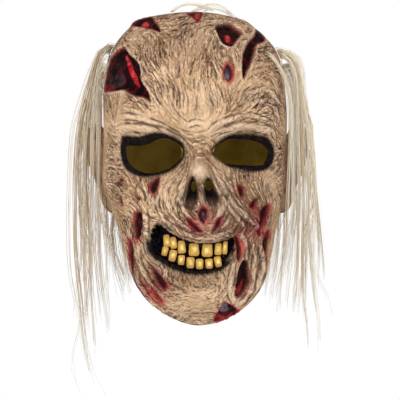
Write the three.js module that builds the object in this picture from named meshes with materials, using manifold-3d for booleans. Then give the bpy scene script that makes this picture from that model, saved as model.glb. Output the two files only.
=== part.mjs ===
// A full-head latex zombie mask. Two rows of teeth are glued in its grin, and long thin hair hangs round its
// bald crown.
// Millimetres, +Z up. The face looks along -Y, and +X is on the right of someone who looks at it.
// The origin is the point inside the crown where the mask sits on the wearer's head.
import * as THREE from "three";
import { mergeVertices } from "three/addons/utils/BufferGeometryUtils.js";
import Module from "manifold-3d";

const wasm = await Module();
wasm.setup();

// Driving dimensions of the head
const headHeight = 296; // top of the crown to the bottom of the chin
const headBreadth = 174; // across the temples
const faceReach = 104; // from the crown's axis forward to the forehead
const occiputReach = 118; // from the crown's axis back to the occiput
const wall = 2; // thickness of the latex
const fit = 0.3; // gap between two pieces that touch
const noseRise = 17; // how far the nose stands out, and the scale of all the relief of the face
const faceSquareness = 2.45; // exponent of the face's horizontal sections, 2 is an ellipse
const napeSquareness = 2.2;

// Wounds, mouth and teeth
const cutDepth = 1.2; // small wounds, within the wall
const tearDepth = 4.2; // large tears
const backed = 1; // how much further the lining steps back behind a deep cut than the cut is deep
const nostrilDepth = 6;
const ventWidth = 7; // breathing hole in the top of each nostril
const ventHeight = 10;
const mouthDepth = 11; // from the lips back to the mouth's floor
const archRadius = 88; // curve of the teeth seen from above
const toothStand = 6.5; // from the back of a tooth to its face
const gumThickness = 2.4;
const gumHeight = 5;

// Ears
const earHeight = 86;
const earWidth = 45;
const earThickness = 7;
const conchaDepth = 3.6;
const earFlare = 28; // degrees that the ear stands off the side of the head
const earLean = 6; // degrees that its lobe is tucked in

// Hair
const hairLength = 322; // the longest lock
const hairStand = 20; // about how far a lock arches out from the head
const lockWidth = 15;
const lockThickness = 10;
const crownLockWidth = 3.4;
const weftWidth = 9;
const crownWeftWidth = 3;
const weftThickness = 1.6;

const halfBreadth = headBreadth / 2;
const rad = THREE.MathUtils.degToRad;

// The rows of a table as objects, under the names of its columns.
function table(names, rows) {
  return rows.map((row) => Object.fromEntries(names.split(" ").map((name, i) => [name, row[i]])));
}

// Sections from the crown down to the rim. Each is a ring that drops to its own depth at the side, the front
// and the back, as shares of headHeight. Its half breadth and its reaches are shares of the head's own. The
// lean is a sideways shift, as a share of the half breadth, and rows is how many mesh rows follow the section.
const sections = table("side breadth front frontReach back backReach lean rows", [
  [0.0, 0.0, 0.0, 0.0, 0.0, 0.0, -0.03, 1],
  [0.022, 0.53, 0.018, 0.42, 0.022, 0.42, -0.07, 2],
  [0.056, 0.7, 0.05, 0.63, 0.053, 0.62, -0.055, 1],
  [0.115, 0.878, 0.11, 0.81, 0.11, 0.8, -0.035, 2],
  [0.18, 0.955, 0.18, 0.92, 0.18, 0.92, -0.025, 2],
  [0.25, 0.992, 0.25, 0.98, 0.25, 0.98, -0.03, 2],
  [0.32, 1.0, 0.33, 1.0, 0.315, 1.0, -0.02, 3],
  [0.395, 0.998, 0.415, 0.97, 0.375, 0.985, -0.02, 4],
  [0.465, 0.995, 0.5, 0.95, 0.435, 0.95, -0.03, 4],
  [0.535, 0.993, 0.58, 0.95, 0.495, 0.9, -0.04, 3],
  [0.595, 0.962, 0.66, 0.965, 0.55, 0.84, -0.025, 4],
  [0.65, 0.9, 0.74, 0.975, 0.6, 0.785, -0.005, 4],
  [0.7, 0.848, 0.82, 0.95, 0.645, 0.745, 0.01, 2],
  [0.745, 0.81, 0.895, 0.92, 0.68, 0.72, 0.018, 2],
  [0.785, 0.775, 0.955, 0.865, 0.705, 0.705, 0.022, 2],
  [0.806, 0.735, 0.995, 0.72, 0.72, 0.695, 0.03, 1],
  [0.806, 0.695, 1.0, 0.55, 0.725, 0.68, 0.03, 0],
]);

// Mounds and hollows of the face, seen from the front. Across and wide are shares of the half breadth, drop
// and tall are shares of headHeight, turn is in degrees, and edge makes the slope steeper above 1. Rise is how
// far the outside stands out and inside how far the lining follows, as shares of noseRise.
const relief = table("name across drop wide tall turn edge rise inside", [
  ["forehead", 0, 0.2, 0.75, 0.12, 0, 1, 0.15, 0.15],
  ["left brow", -0.53, 0.362, 0.36, 0.036, 4, 1.3, 0.46, 0.3],
  ["right brow", 0.53, 0.356, 0.36, 0.036, 2, 1.3, 0.46, 0.3],
  ["between brows", 0, 0.378, 0.2, 0.03, 0, 1, 0.2, 0.1],
  ["left socket", -0.47, 0.466, 0.42, 0.07, 6, 2, -0.5, -0.5],
  ["right socket", 0.49, 0.457, 0.4, 0.066, -2, 2, -0.5, -0.5],
  ["left cheekbone", -0.72, 0.57, 0.26, 0.05, 0, 1, 0.4, 0.3],
  ["right cheekbone", 0.76, 0.565, 0.26, 0.05, 0, 1, 0.4, 0.3],
  ["nose bridge", 0.01, 0.455, 0.12, 0.085, 0, 1, 0.75, 0.65],
  ["nose tip", 0.02, 0.512, 0.13, 0.036, 0, 1, 0.85, 0.55],
  ["round the nostrils", 0.04, 0.59, 0.27, 0.075, 0, 1.6, 0.42, 0],
  ["cheek rope", 0.47, 0.615, 0.34, 0.018, -50, 1, 0.24, 0.1],
  ["left fold", -0.33, 0.635, 0.26, 0.016, 48, 1, 0.14, 0.05],
  ["muzzle", -0.05, 0.745, 0.6, 0.11, 0, 1.5, 0.36, 0.3],
  ["upper lip", 0.03, 0.712, 0.34, 0.02, 0, 1, 0.14, 0],
  ["lower lip", -0.06, 0.845, 0.36, 0.016, 0, 1, 0.12, 0],
  ["left cheek hollow", -0.66, 0.69, 0.16, 0.08, 0, 1, -0.3, -0.3],
  ["right cheek hollow", 0.72, 0.69, 0.16, 0.08, 0, 1, -0.3, -0.3],
  ["chin", 0.03, 0.925, 0.36, 0.05, 0, 1.5, 0.34, 0.3],
  ["under the lip", 0, 0.872, 0.32, 0.016, 0, 1, -0.14, 0],
]);

// Where the lining steps back behind the mouth and the large tears, with the depth of the cut.
const backing = table("name across drop wide tall turn edge depth", [
  ["mouth", -0.055, 0.752, 0.66, 0.122, -4, 3, mouthDepth],
  ["left temple", -0.74, 0.215, 0.5, 0.13, 0, 2, tearDepth],
  ["right crown", 0.36, 0.08, 0.3, 0.08, 0, 2, tearDepth],
  ["right temple", 0.61, 0.13, 0.26, 0.13, 0, 2, tearDepth],
  ["jaw", 0.49, 0.855, 0.24, 0.09, 0, 2, tearDepth],
]);

// Eye holes, cut straight through, as closed outlines of [across, drop] seen from the front.
const eyeHoles = [
  [[-0.755, 0.44], [-0.6, 0.44], [-0.43, 0.418], [-0.3, 0.412], [-0.165, 0.437], [-0.155, 0.468],
    [-0.28, 0.502], [-0.46, 0.519], [-0.65, 0.505], [-0.745, 0.475]],
  [[0.17, 0.462], [0.2, 0.437], [0.33, 0.414], [0.5, 0.411], [0.67, 0.42], [0.755, 0.44], [0.762, 0.463],
    [0.69, 0.491], [0.48, 0.495], [0.27, 0.485]],
];

// Tears and cuts in the skin as closed outlines of [across, drop] seen from the front.
const tears = [
  { name: "left temple", depth: tearDepth, outline: [[-0.8, 0.122], [-0.67, 0.165], [-0.6, 0.225],
    [-0.53, 0.262], [-0.5, 0.295], [-0.6, 0.285], [-0.77, 0.26], [-0.92, 0.26], [-0.955, 0.225],
    [-0.905, 0.165]] },
  { name: "right crown", depth: tearDepth, outline: [[0.2, 0.055], [0.28, 0.046], [0.36, 0.045],
    [0.49, 0.074], [0.44, 0.098], [0.375, 0.119], [0.29, 0.113], [0.235, 0.086]] },
  { name: "right temple", depth: tearDepth, outline: [[0.635, 0.055], [0.7, 0.077], [0.715, 0.1],
    [0.645, 0.112], [0.61, 0.14], [0.56, 0.185], [0.505, 0.222], [0.485, 0.18], [0.5, 0.135], [0.56, 0.1],
    [0.62, 0.075]] },
  { name: "jaw", depth: tearDepth, outline: [[0.48, 0.795], [0.54, 0.79], [0.57, 0.825], [0.575, 0.86],
    [0.53, 0.895], [0.44, 0.915], [0.395, 0.905], [0.405, 0.868], [0.44, 0.825]] },
  { name: "left crown", depth: cutDepth, outline: [[-0.7, 0.045], [-0.6, 0.027], [-0.5, 0.022], [-0.44, 0.04],
    [-0.39, 0.07], [-0.5, 0.06], [-0.63, 0.052]] },
];

// Small wounds as leaves: the middle, half the length and width against woundLength, and the turn from upright.
const woundLength = 8.5; // half length of a wound of size 1
const wounds = table("name across drop long wide turn", [
  ["forehead hole", 0.33, 0.204, 0.95, 0.47, 4],
  ["crown nick", 0.0, 0.034, 0.7, 0.55, 8],
  ["under left eye", -0.455, 0.558, 1.0, 0.45, -22],
  ["left cheek", -0.63, 0.688, 1.6, 0.5, 2],
  ["left jaw", -0.7, 0.776, 1.8, 0.26, 6],
  ["left chin", -0.4, 0.852, 1.1, 0.4, 32],
  ["left chin low", -0.46, 0.912, 0.9, 0.3, 38],
  ["under the nose", 0.06, 0.657, 0.8, 0.42, -10],
  ["lip crease", -0.05, 0.684, 1.0, 0.26, 52],
  ["right cheek top", 0.47, 0.578, 0.8, 0.45, 14],
  ["right cheek middle", 0.62, 0.616, 0.95, 0.42, -40],
  ["right cheek low", 0.725, 0.668, 1.7, 0.46, -16],
  ["right jaw", 0.765, 0.743, 1.5, 0.38, 0],
  ["mouth corner", 0.434, 0.771, 1.4, 0.28, 6],
  ["right chin", 0.31, 0.942, 1.0, 0.6, 40],
]);

const nostrils = [
  [[-0.065, 0.532], [-0.02, 0.548], [0.005, 0.575], [-0.01, 0.61], [-0.03, 0.633], [-0.115, 0.63],
    [-0.125, 0.605], [-0.09, 0.575]],
  [[0.065, 0.54], [0.11, 0.533], [0.17, 0.55], [0.17, 0.575], [0.222, 0.6], [0.215, 0.618], [0.15, 0.63],
    [0.09, 0.62], [0.07, 0.585]],
];
const vents = [
  { across: -0.035, drop: 0.574 },
  { across: 0.125, drop: 0.567 },
];

// The lips: the mouth's edge from its left corner to its right one, above and below.
const upperLip = [[-0.49, 0.718], [-0.445, 0.68], [-0.29, 0.697], [-0.12, 0.724], [0.06, 0.735],
  [0.23, 0.735], [0.375, 0.722]];
const lowerLip = [[0.4, 0.76], [0.37, 0.794], [0.29, 0.818], [0.11, 0.832], [-0.07, 0.83], [-0.24, 0.812],
  [-0.39, 0.782], [-0.475, 0.752]];

// Teeth from left to right: the middle, the breadth as a share of the half breadth and the height as a share
// of headHeight.
const upperTeeth = table("across drop wide tall turn", [
  [-0.321, 0.7316, 0.074, 0.04, 6],
  [-0.251, 0.7375, 0.074, 0.038, 5],
  [-0.163, 0.751, 0.085, 0.042, 4],
  [-0.032, 0.7587, 0.111, 0.042, 1],
  [0.11, 0.76, 0.115, 0.044, -2],
  [0.228, 0.757, 0.077, 0.04, -3],
  [0.3, 0.7526, 0.055, 0.043, -4],
]);
const lowerTeeth = table("across drop wide tall turn", [
  [-0.342, 0.764, 0.066, 0.03, -14],
  [-0.258, 0.778, 0.082, 0.037, -12],
  [-0.167, 0.7915, 0.074, 0.032, -4],
  [-0.069, 0.8, 0.086, 0.036, -3],
  [0.028, 0.804, 0.082, 0.033, 0],
  [0.13, 0.803, 0.082, 0.032, 4],
  [0.224, 0.797, 0.076, 0.034, 12],
]);

// The ear seen from its side: shares of earWidth back from its root and of earHeight up from its lobe.
const earOutline = [[0.04, 0.02], [0.3, 0.0], [0.5, 0.1], [0.62, 0.28], [0.86, 0.48], [1.0, 0.72],
  [0.92, 0.92], [0.6, 1.0], [0.26, 0.95], [0.04, 0.8], [-0.06, 0.5], [-0.04, 0.2]];
const conchaOutline = [[0.22, 0.3], [0.42, 0.26], [0.56, 0.42], [0.76, 0.62], [0.76, 0.82], [0.5, 0.88],
  [0.3, 0.8], [0.24, 0.62], [0.34, 0.48]];

// Locks of hair. Around is the root's place in degrees round the head from the face, and drop its depth down
// it. Stand is how far the lock arches out and lift how far it arches up. Spread is how far it then leaves the
// head, and tuck how far its tip comes back. Sway is its wander sideways. All these are shares of hairStand.
// Fall is its length as a share of hairLength, and girth a share of the lock's own size.
const leftLocks = table("around drop stand lift fall spread tuck sway girth", [
  [-80, 0.2, 0.45, 0.05, 0.5, 0.3, 0.1, 0.15, 0.6],
  [-87, 0.165, 0.7, 0.2, 0.8, 0.6, 0.3, 0.25, 0.9],
  [-95, 0.145, 0.8, 0.35, 1.0, 1.1, 1, 0.35, 1.05],
  [-103, 0.15, 0.8, 0.35, 0.86, 1.25, 0.6, 0.25, 1.1],
  [-111, 0.175, 0.9, 0.25, 0.9, 1.1, 0.8, 0.3, 1.0],
  [-120, 0.205, 0.85, 0.15, 0.78, 0.8, 1, 0.25, 0.95],
  [-130, 0.23, 0.7, 0.1, 0.7, 0.5, 0.9, 0.2, 0.9],
  [-141, 0.25, 0.6, 0.1, 0.62, 0.25, 0.7, 0.2, 0.85],
]);
const rightLocks = table("around drop stand lift fall spread tuck sway girth", [
  [70, 0.17, 0.5, 0.05, 0.56, 0.15, 0, -0.15, 0.55],
  [79, 0.165, 0.75, 0.15, 0.8, 0.3, 0.1, -0.2, 0.85],
  [88, 0.165, 0.85, 0.25, 0.9, 0.6, 0.4, -0.25, 1.0],
  [97, 0.165, 0.9, 0.25, 0.86, 0.8, 0.3, -0.35, 1.05],
  [105, 0.175, 0.9, 0.2, 0.76, 0.9, -0.4, -0.2, 1.0],
  [115, 0.2, 0.85, 0.15, 0.74, 0.7, 0.6, -0.25, 0.95],
  [127, 0.23, 0.7, 0.1, 0.68, 0.4, 0.8, -0.2, 0.9],
  [140, 0.25, 0.6, 0.1, 0.6, 0.2, 0.7, -0.2, 0.85],
]);
const backLocks = table("around drop stand lift fall spread tuck sway girth", [
  [153, 0.262, 0.6, 0.05, 0.58, 0.1, 0.6, 0.15, 0.85],
  [162, 0.268, 0.6, 0.05, 0.62, 0.1, 0.6, 0.2, 0.95],
  [171, 0.272, 0.6, 0.05, 0.59, 0.1, 0.7, -0.15, 0.95],
  [180, 0.274, 0.6, 0.05, 0.63, 0.1, 0.6, 0.2, 0.95],
  [189, 0.272, 0.6, 0.05, 0.6, 0.1, 0.7, 0.15, 0.95],
  [198, 0.268, 0.6, 0.05, 0.62, 0.1, 0.6, -0.2, 0.95],
  [207, 0.262, 0.6, 0.05, 0.57, 0.1, 0.6, 0.15, 0.85],
]);
// The crown's locks lie over it, along their own heading, and arch over their whole length.
const crownLocks = table("around drop heading arch stand lift fall spread tuck sway girth", [
  [-92, 0.011, 92, 1, 2.3, 0.4, 0, 0, -0.8, 0.15, 1.0],
  [-68, 0.011, 104, 1, 2.6, 0.45, 0, 0, -0.7, -0.15, 1.1],
  [-44, 0.012, 84, 1, 1.7, 0.4, 0, 0, -0.6, 0.1, 0.9],
]);

// Meshes as exact solids

function solid(geometry) {
  const bare = new THREE.BufferGeometry();
  bare.setAttribute("position", geometry.getAttribute("position"));
  bare.setIndex(geometry.getIndex());
  const merged = mergeVertices(bare, 1e-4);
  return new wasm.Manifold(
    new wasm.Mesh({
      numProp: 3,
      vertProperties: merged.attributes.position.array,
      triVerts: new Uint32Array(merged.index.array),
    }),
  );
}

function mesh(name, body, material) {
  const { vertProperties, triVerts, numProp } = body.getMesh();
  const geometry = new THREE.BufferGeometry();
  const interleaved = new THREE.InterleavedBuffer(vertProperties, numProp);
  geometry.setAttribute("position", new THREE.InterleavedBufferAttribute(interleaved, 3, 0));
  geometry.setIndex(new THREE.BufferAttribute(triVerts, 1));
  const made = new THREE.Mesh(geometry.toNonIndexed(), material);
  made.geometry.computeVertexNormals();
  made.name = name;
  return made;
}

// A closed surface through rings of equal length, with an end point before the first ring and after the last.
function closedLoft(start, rings, end) {
  const count = rings[0].length;
  const points = [start, ...rings.flat(), end];
  const last = points.length - 1;
  const faces = [];
  for (let i = 0; i < count; i++) {
    const next = (i + 1) % count;
    faces.push(0, 1 + next, 1 + i);
    faces.push(last, last - count + i, last - count + next);
    for (let ring = 0; ring < rings.length - 1; ring++) {
      const a = 1 + ring * count;
      const b = a + count;
      faces.push(a + i, a + next, b + i, a + next, b + next, b + i);
    }
  }
  const geometry = new THREE.BufferGeometry().setFromPoints(points);
  geometry.setIndex(faces);
  return facingOut(solid(geometry), geometry);
}

function facingOut(body, geometry) {
  if (body.volume() > 0) return body;
  const flipped = geometry.clone();
  flipped.setIndex([...geometry.getIndex().array].reverse());
  return solid(flipped);
}

function average(points) {
  const sum = points.reduce((total, point) => total.add(point), new THREE.Vector3());
  return sum.divideScalar(points.length);
}

// The head's surface

const columns = ["side", "breadth", "front", "frontReach", "back", "backReach", "lean"];
const reaches = ["breadth", "frontReach", "backReach"];

// The ring at any level between two sections. Before the crown the rings mirror, so that the crown is smooth.
function ringAt(level) {
  const last = sections.length - 1;
  const index = Math.min(Math.floor(level), last - 1);
  const t = level - index;
  const value = (i, column) => {
    if (i < 0) return reaches.includes(column) ? -sections[-i][column] : sections[-i][column];
    if (i > last) return 2 * sections[last][column] - sections[last - 1][column];
    return sections[i][column];
  };
  const ring = {};
  for (const column of columns) {
    const [a, b, c, d] = [-1, 0, 1, 2].map((step) => value(index + step, column));
    const [slope, bend, twist] = [c - a, 2 * a - 5 * b + 4 * c - d, 3 * (b - c) + d - a];
    ring[column] = b + (slope * t + bend * t * t + twist * t ** 3) / 2;
  }
  return ring;
}

// The smooth skull: superellipse rings whose drop runs from the side's to the front's or the back's.
const dropEase = 1.7;
function skullPoint(level, around) {
  const ring = ringAt(level);
  const forward = Math.cos(around);
  const sideways = Math.sin(around);
  const [drop, reach, squareness] = forward > 0
    ? [ring.front, ring.frontReach * faceReach, faceSquareness]
    : [ring.back, ring.backReach * occiputReach, napeSquareness];
  const breadth = ring.breadth * halfBreadth;
  const round = (Math.abs(sideways) / breadth) ** squareness + (Math.abs(forward) / reach) ** squareness;
  const radius = breadth > 0 && reach > 0 ? round ** (-1 / squareness) : 0;
  const share = ring.side + (drop - ring.side) * Math.abs(forward) ** dropEase;
  return new THREE.Vector3(
    radius * sideways + ring.lean * halfBreadth,
    -radius * forward,
    wall - share * headHeight,
  );
}

// How much of a mound there is at a place seen from the front, from 0 to 1.
function moundShare({ across, drop, wide, tall, turn, edge }, x, z) {
  const dx = x - across * halfBreadth;
  const dz = z - (wall - drop * headHeight);
  const [cos, sin] = [Math.cos(rad(turn)), Math.sin(rad(turn))];
  const p = (dx * cos + dz * sin) / (wide * halfBreadth);
  const q = (dz * cos - dx * sin) / (tall * headHeight);
  return Math.exp(-((p * p + q * q) ** edge));
}

function reliefAt(x, z, column) {
  return noseRise * relief.reduce((total, mound) => total + mound[column] * moundShare(mound, x, z), 0);
}

function backingAt(x, z) {
  return backing.reduce((total, mound) => total + (mound.depth + backed) * moundShare(mound, x, z), 0);
}

const reliefStarts = 0.12; // cosine of the angle round the head where the relief fades in
const reliefFull = 0.5;
function skinPoint(level, around, column = "rise") {
  const point = skullPoint(level, around);
  const front = THREE.MathUtils.smoothstep(Math.cos(around), reliefStarts, reliefFull);
  point.y -= reliefAt(point.x, point.z, column) * front;
  return point;
}

// The outward normal of one of the surfaces above, from its slopes.
function normalOf(surface, level, around) {
  const step = 0.02;
  const low = Math.max(level, 2 * step);
  const down = surface(low + step, around).sub(surface(low - step, around));
  const across = surface(low, around + step).sub(surface(low, around - step));
  return across.cross(down).normalize().negate();
}

function skinAt(level, around, depth) {
  const point = skinPoint(level, around);
  return point.addScaledVector(normalOf(skullPoint, level, around), -depth);
}

function liningAt(level, around) {
  const surface = (l, a) => skinPoint(l, a, "inside");
  const point = surface(level, around);
  const thick = wall + (Math.cos(around) > 0 ? backingAt(point.x, point.z) : 0);
  return point.addScaledVector(normalOf(surface, level, around), -thick);
}

// The level and angle of the skin at a place seen from the front, found by Newton's steps.
function faceSpot([across, drop]) {
  const x = across * halfBreadth;
  const z = wall - drop * headHeight;
  let around = Math.asin(THREE.MathUtils.clamp(across, -0.9, 0.9));
  let level = levelAt(around, drop);
  const step = 1e-3;
  for (let turn = 0; turn < 40; turn++) {
    const here = skullPoint(level, around);
    const byLevel = skullPoint(level + step, around).sub(here).divideScalar(step);
    const byAngle = skullPoint(level, around + step).sub(here).divideScalar(step);
    const [ex, ez] = [x - here.x, z - here.z];
    const scale = byLevel.x * byAngle.z - byLevel.z * byAngle.x;
    const dLevel = (ex * byAngle.z - ez * byAngle.x) / scale;
    const dAround = (ez * byLevel.x - ex * byLevel.z) / scale;
    level = THREE.MathUtils.clamp(level + THREE.MathUtils.clamp(dLevel, -1, 1), 0.05, sections.length - 2);
    around = THREE.MathUtils.clamp(around + THREE.MathUtils.clamp(dAround, -0.2, 0.2), -1.5, 1.5);
  }
  return { level, around };
}

// The level at which the skull has dropped so far, at one angle round the head.
function levelAt(around, drop) {
  let low = 0;
  let high = sections.length - 2;
  for (let turn = 0; turn < 40; turn++) {
    const middle = (low + high) / 2;
    if (wall - skullPoint(middle, around).z < drop * headHeight) low = middle;
    else high = middle;
  }
  return (low + high) / 2;
}

// The skin as a hollow solid

// Mesh columns round the head, closest on the face and widest at the back.
const columnSteps = [
  { upTo: 20, step: 4 },
  { upTo: 64, step: 5.5 },
  { upTo: 112, step: 12 },
  { upTo: 180, step: 17 },
];
const fineUpTo = 64; // on the face, where the skin's mesh is fine, the lining has every second column of it
const fineFrom = 5; // and below this section every second row

function arounds() {
  const right = [0];
  for (const { upTo, step } of columnSteps) {
    while (right.at(-1) < upTo - step / 2) right.push(right.at(-1) + step);
  }
  const left = right.slice(1, -1).map((angle) => 360 - angle).reverse();
  return [...right, ...left].map(rad);
}

function levels() {
  const made = [];
  sections.forEach(({ rows }, index) => {
    for (let row = 0; row < rows; row++) made.push(index + row / rows);
  });
  return [...made, sections.length - 1].slice(1);
}

function liningArounds() {
  return arounds().filter((around, index) => Math.cos(around) < Math.cos(rad(fineUpTo)) || index % 2 === 0);
}

function liningLevels() {
  const all = levels();
  return all.filter((level, index) => level < fineFrom || (all.length - 1 - index) % 2 === 0);
}

function everyRing(surface, rowLevels, angles) {
  return rowLevels.map((level) => angles.map((around) => surface(level, around)));
}

function outerHead() {
  const rings = everyRing(skinPoint, levels(), arounds());
  return closedLoft(skinPoint(0, 0), rings, average(rings.at(-1)));
}

// The space inside the skin, carried on past the rim so that it cuts the neck open.
const pastRim = 25;
function headSpace() {
  const rings = everyRing(liningAt, liningLevels(), liningArounds());
  const rim = rings.at(-1);
  const middle = average(rim);
  const quarter = Math.round(rim.length / 4);
  const open = rim[0].clone().sub(middle).cross(rim[quarter].clone().sub(middle)).normalize();
  if (open.z > 0) open.negate();
  const beyond = rim.map((point) => point.clone().addScaledVector(open, pastRim));
  const top = liningAt(0, 0);
  return closedLoft(top, [...rings, beyond], average(beyond));
}

// Outlines and cutters

const frontX = (across) => across * halfBreadth;
const frontZ = (drop) => wall - drop * headHeight;

function smoothOutline(points, count) {
  const curve = new THREE.CatmullRomCurve3(points.map(([a, b]) => new THREE.Vector3(a, b, 0)), true);
  return curve.getSpacedPoints(count).slice(0, -1).map(({ x, y }) => [x, y]);
}

function shrunk(outline, share) {
  const middle = [0, 1].map((axis) => outline.reduce((sum, point) => sum + point[axis], 0) / outline.length);
  return outline.map((point) => point.map((value, axis) => middle[axis] + (value - middle[axis]) * share));
}

// A slab that follows the skin under an outline, from above it to a depth, where it is smaller. A wide one has
// a ring halfway in on both faces, so that it follows the skin's curve.
const proud = 3; // how far a cutter stands above the skin
const proudShare = 1.05; // its size there, against the outline on the skin
const centreShare = 0.1; // size of the small ring that its middle is taken from
function skinSlab(outline, depth, deepShare, wide = false) {
  const ring = (share, at) => shrunk(outline, share).map((point) => {
    const { level, around } = faceSpot(point);
    return skinAt(level, around, at);
  });
  const rim = [ring(proudShare, -proud), ring(deepShare, depth)];
  const rings = wide ? [ring(proudShare / 2, -proud), ...rim, ring(deepShare / 2, depth)] : rim;
  const centre = (at) => average(ring(centreShare, at));
  return closedLoft(centre(-proud), rings, centre(depth));
}

// A straight block under an outline, from well before the face to behind its lining.
const beforeFace = -1.6 * faceReach;
const behindFace = -0.3 * faceReach;
function straightCut(outline) {
  const ring = (y) => outline.map(([across, drop]) => new THREE.Vector3(frontX(across), y, frontZ(drop)));
  const [before, behind] = [ring(beforeFace), ring(behindFace)];
  return closedLoft(average(before), [before, behind], average(behind));
}

const leafPoints = 7;
const leafTaper = 0.3; // 0 is an ellipse, and more draws its ends out
function leafOutline({ across, drop, long, wide, turn }) {
  const angle = rad(turn);
  return Array.from({ length: leafPoints }, (_, i) => {
    const t = (i / leafPoints) * 2 * Math.PI;
    const side = Math.sin(t) * Math.abs(Math.sin(t)) ** leafTaper * wide * woundLength;
    const up = Math.cos(t) * long * woundLength;
    const dx = side * Math.cos(angle) + up * Math.sin(angle);
    const dz = up * Math.cos(angle) - side * Math.sin(angle);
    return [across + dx / halfBreadth, drop - dz / headHeight];
  });
}

// The mouth and its teeth

const mouthMiddle = faceSpot([-0.05, 0.77]);
const lipsFront = skinPoint(mouthMiddle.level, mouthMiddle.around).y;
const floorFront = lipsFront + mouthDepth;

// A place in the mouth at a height over its curved floor.
function archPoint(across, drop, height) {
  const x = frontX(across);
  return new THREE.Vector3(x, floorFront + (x * x) / (2 * archRadius) - height, frontZ(drop));
}

// The mouth's room, in stations from corner to corner between the two lips.
const mouthStations = 12;
const mouthClear = 4 * mouthDepth; // how far the cutter stands before the mouth's floor
function mouthRoom() {
  const line = (points) => new THREE.CatmullRomCurve3(points.map(([a, b]) => new THREE.Vector3(a, b, 0)));
  const above = line(upperLip).getSpacedPoints(mouthStations);
  const below = line([...lowerLip].reverse()).getSpacedPoints(mouthStations);
  const rings = above.map((high, i) => {
    const between = [0, 1 / 3, 2 / 3, 1].map((share) => high.clone().lerp(below[i], share));
    const floor = between.map(({ x, y }) => archPoint(x, y, 0));
    const front = between.map(({ x, y }) => archPoint(x, y, mouthClear));
    return [...floor, ...front.reverse()];
  });
  return closedLoft(average(rings[0]), rings, average(rings.at(-1)));
}

// A row of teeth on the strip of gum that holds them, which is glued to the mouth's floor.
const gumEdge = 0.8 * gumThickness; // the strip is thinner along its edges
const gumOverhang = 2.5; // past the middle of the last tooth
function teethRow(teeth, gumSide) {
  const half = gumHeight / headHeight / 2;
  const past = gumOverhang / halfBreadth;
  const gumLine = teeth.map(({ across, drop, tall }) => [across, drop + gumSide * (tall / 2 - half)]);
  const [first, last] = [gumLine[0], gumLine.at(-1)];
  const line = [[first[0] - past, first[1]], ...gumLine, [last[0] + past, last[1]]];
  const section = ([across, drop]) => [
    archPoint(across, drop - half, fit),
    archPoint(across, drop + half, fit),
    archPoint(across, drop + half, fit + gumEdge),
    archPoint(across, drop, fit + gumThickness),
    archPoint(across, drop - half, fit + gumEdge),
  ];
  const rings = line.map(section);
  const gum = closedLoft(average(rings[0]), rings, average(rings.at(-1)));
  return teeth.reduce((row, tooth) => row.add(toothSolid(tooth)), gum);
}

const toothCorners = 8;
const toothRoundness = 0.5; // 1 is an ellipse, and less is squarer
const toothFoot = 0.9; // its size at the gum and at its edge, against its own
const toothEdge = 0.95;
const toothShoulder = 0.8 * toothStand; // the height of its edge, before its domed face
function toothSolid({ across, drop, wide, tall, turn }) {
  const [halfWide, halfTall] = [(wide * halfBreadth) / 2, (tall * headHeight) / 2];
  const ring = (share, height) => Array.from({ length: toothCorners }, (_, i) => {
    const t = ((i + 0.5) / toothCorners) * 2 * Math.PI;
    const [c, s] = [Math.cos(t), Math.sin(t)];
    const x = Math.sign(c) * Math.abs(c) ** toothRoundness * halfWide * share;
    const z = Math.sign(s) * Math.abs(s) ** toothRoundness * halfTall * share;
    const angle = rad(turn);
    return archPoint(
      across + (x * Math.cos(angle) - z * Math.sin(angle)) / halfBreadth,
      drop - (z * Math.cos(angle) + x * Math.sin(angle)) / headHeight,
      height,
    );
  });
  const rings = [ring(toothFoot, fit), ring(toothEdge, fit + toothShoulder)];
  return closedLoft(average(rings[0]), rings, archPoint(across, drop, fit + toothStand));
}

// Ears

const earPoints = 16;
const earBevel = 0.3 * earThickness;
function earSolid(side) {
  const inMillimetres = ([back, high]) => new THREE.Vector2(back * earWidth, high * earHeight);
  const shape = (outline) => new THREE.Shape(smoothOutline(outline, earPoints).map(inMillimetres));
  const plate = new THREE.ExtrudeGeometry(shape(earOutline), {
    depth: earThickness - 2 * earBevel,
    bevelSize: earBevel,
    bevelThickness: earBevel,
    bevelOffset: -earBevel,
    bevelSegments: 1,
  });
  const hollow = new THREE.ExtrudeGeometry(shape(conchaOutline), {
    depth: conchaDepth,
    bevelSize: earBevel / 2,
    bevelThickness: earBevel / 2,
    bevelSegments: 1,
  });
  hollow.translate(0, 0, earThickness - conchaDepth);
  const flat = solid(plate).subtract(solid(hollow));
  return flat.transform(earPlacement(side).elements);
}

// Where an ear goes: its root runs down the side of the head, with the top near the brow's height.
const earTopDrop = 0.352;
const earRootBack = 1; // behind the crown's axis
const earSunk = 3.5; // how far its root is buried in the side of the head
function earPlacement(side) {
  const flare = rad(earFlare);
  const back = new THREE.Vector3(side * Math.sin(flare), Math.cos(flare), 0);
  const out = new THREE.Vector3(side * Math.cos(flare), -Math.sin(flare), 0);
  const up = new THREE.Vector3(0, 0, 1);
  const basis = new THREE.Matrix4().makeBasis(back, up, out);
  const lean = new THREE.Matrix4().makeRotationY(side * rad(earLean));
  const top = frontZ(earTopDrop);
  const place = new THREE.Matrix4().makeTranslation(side * (halfBreadth - earSunk), earRootBack, top);
  const down = new THREE.Matrix4().makeTranslation(0, -earHeight, 0);
  return place.multiply(lean).multiply(basis).multiply(down);
}

// Hair

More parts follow.
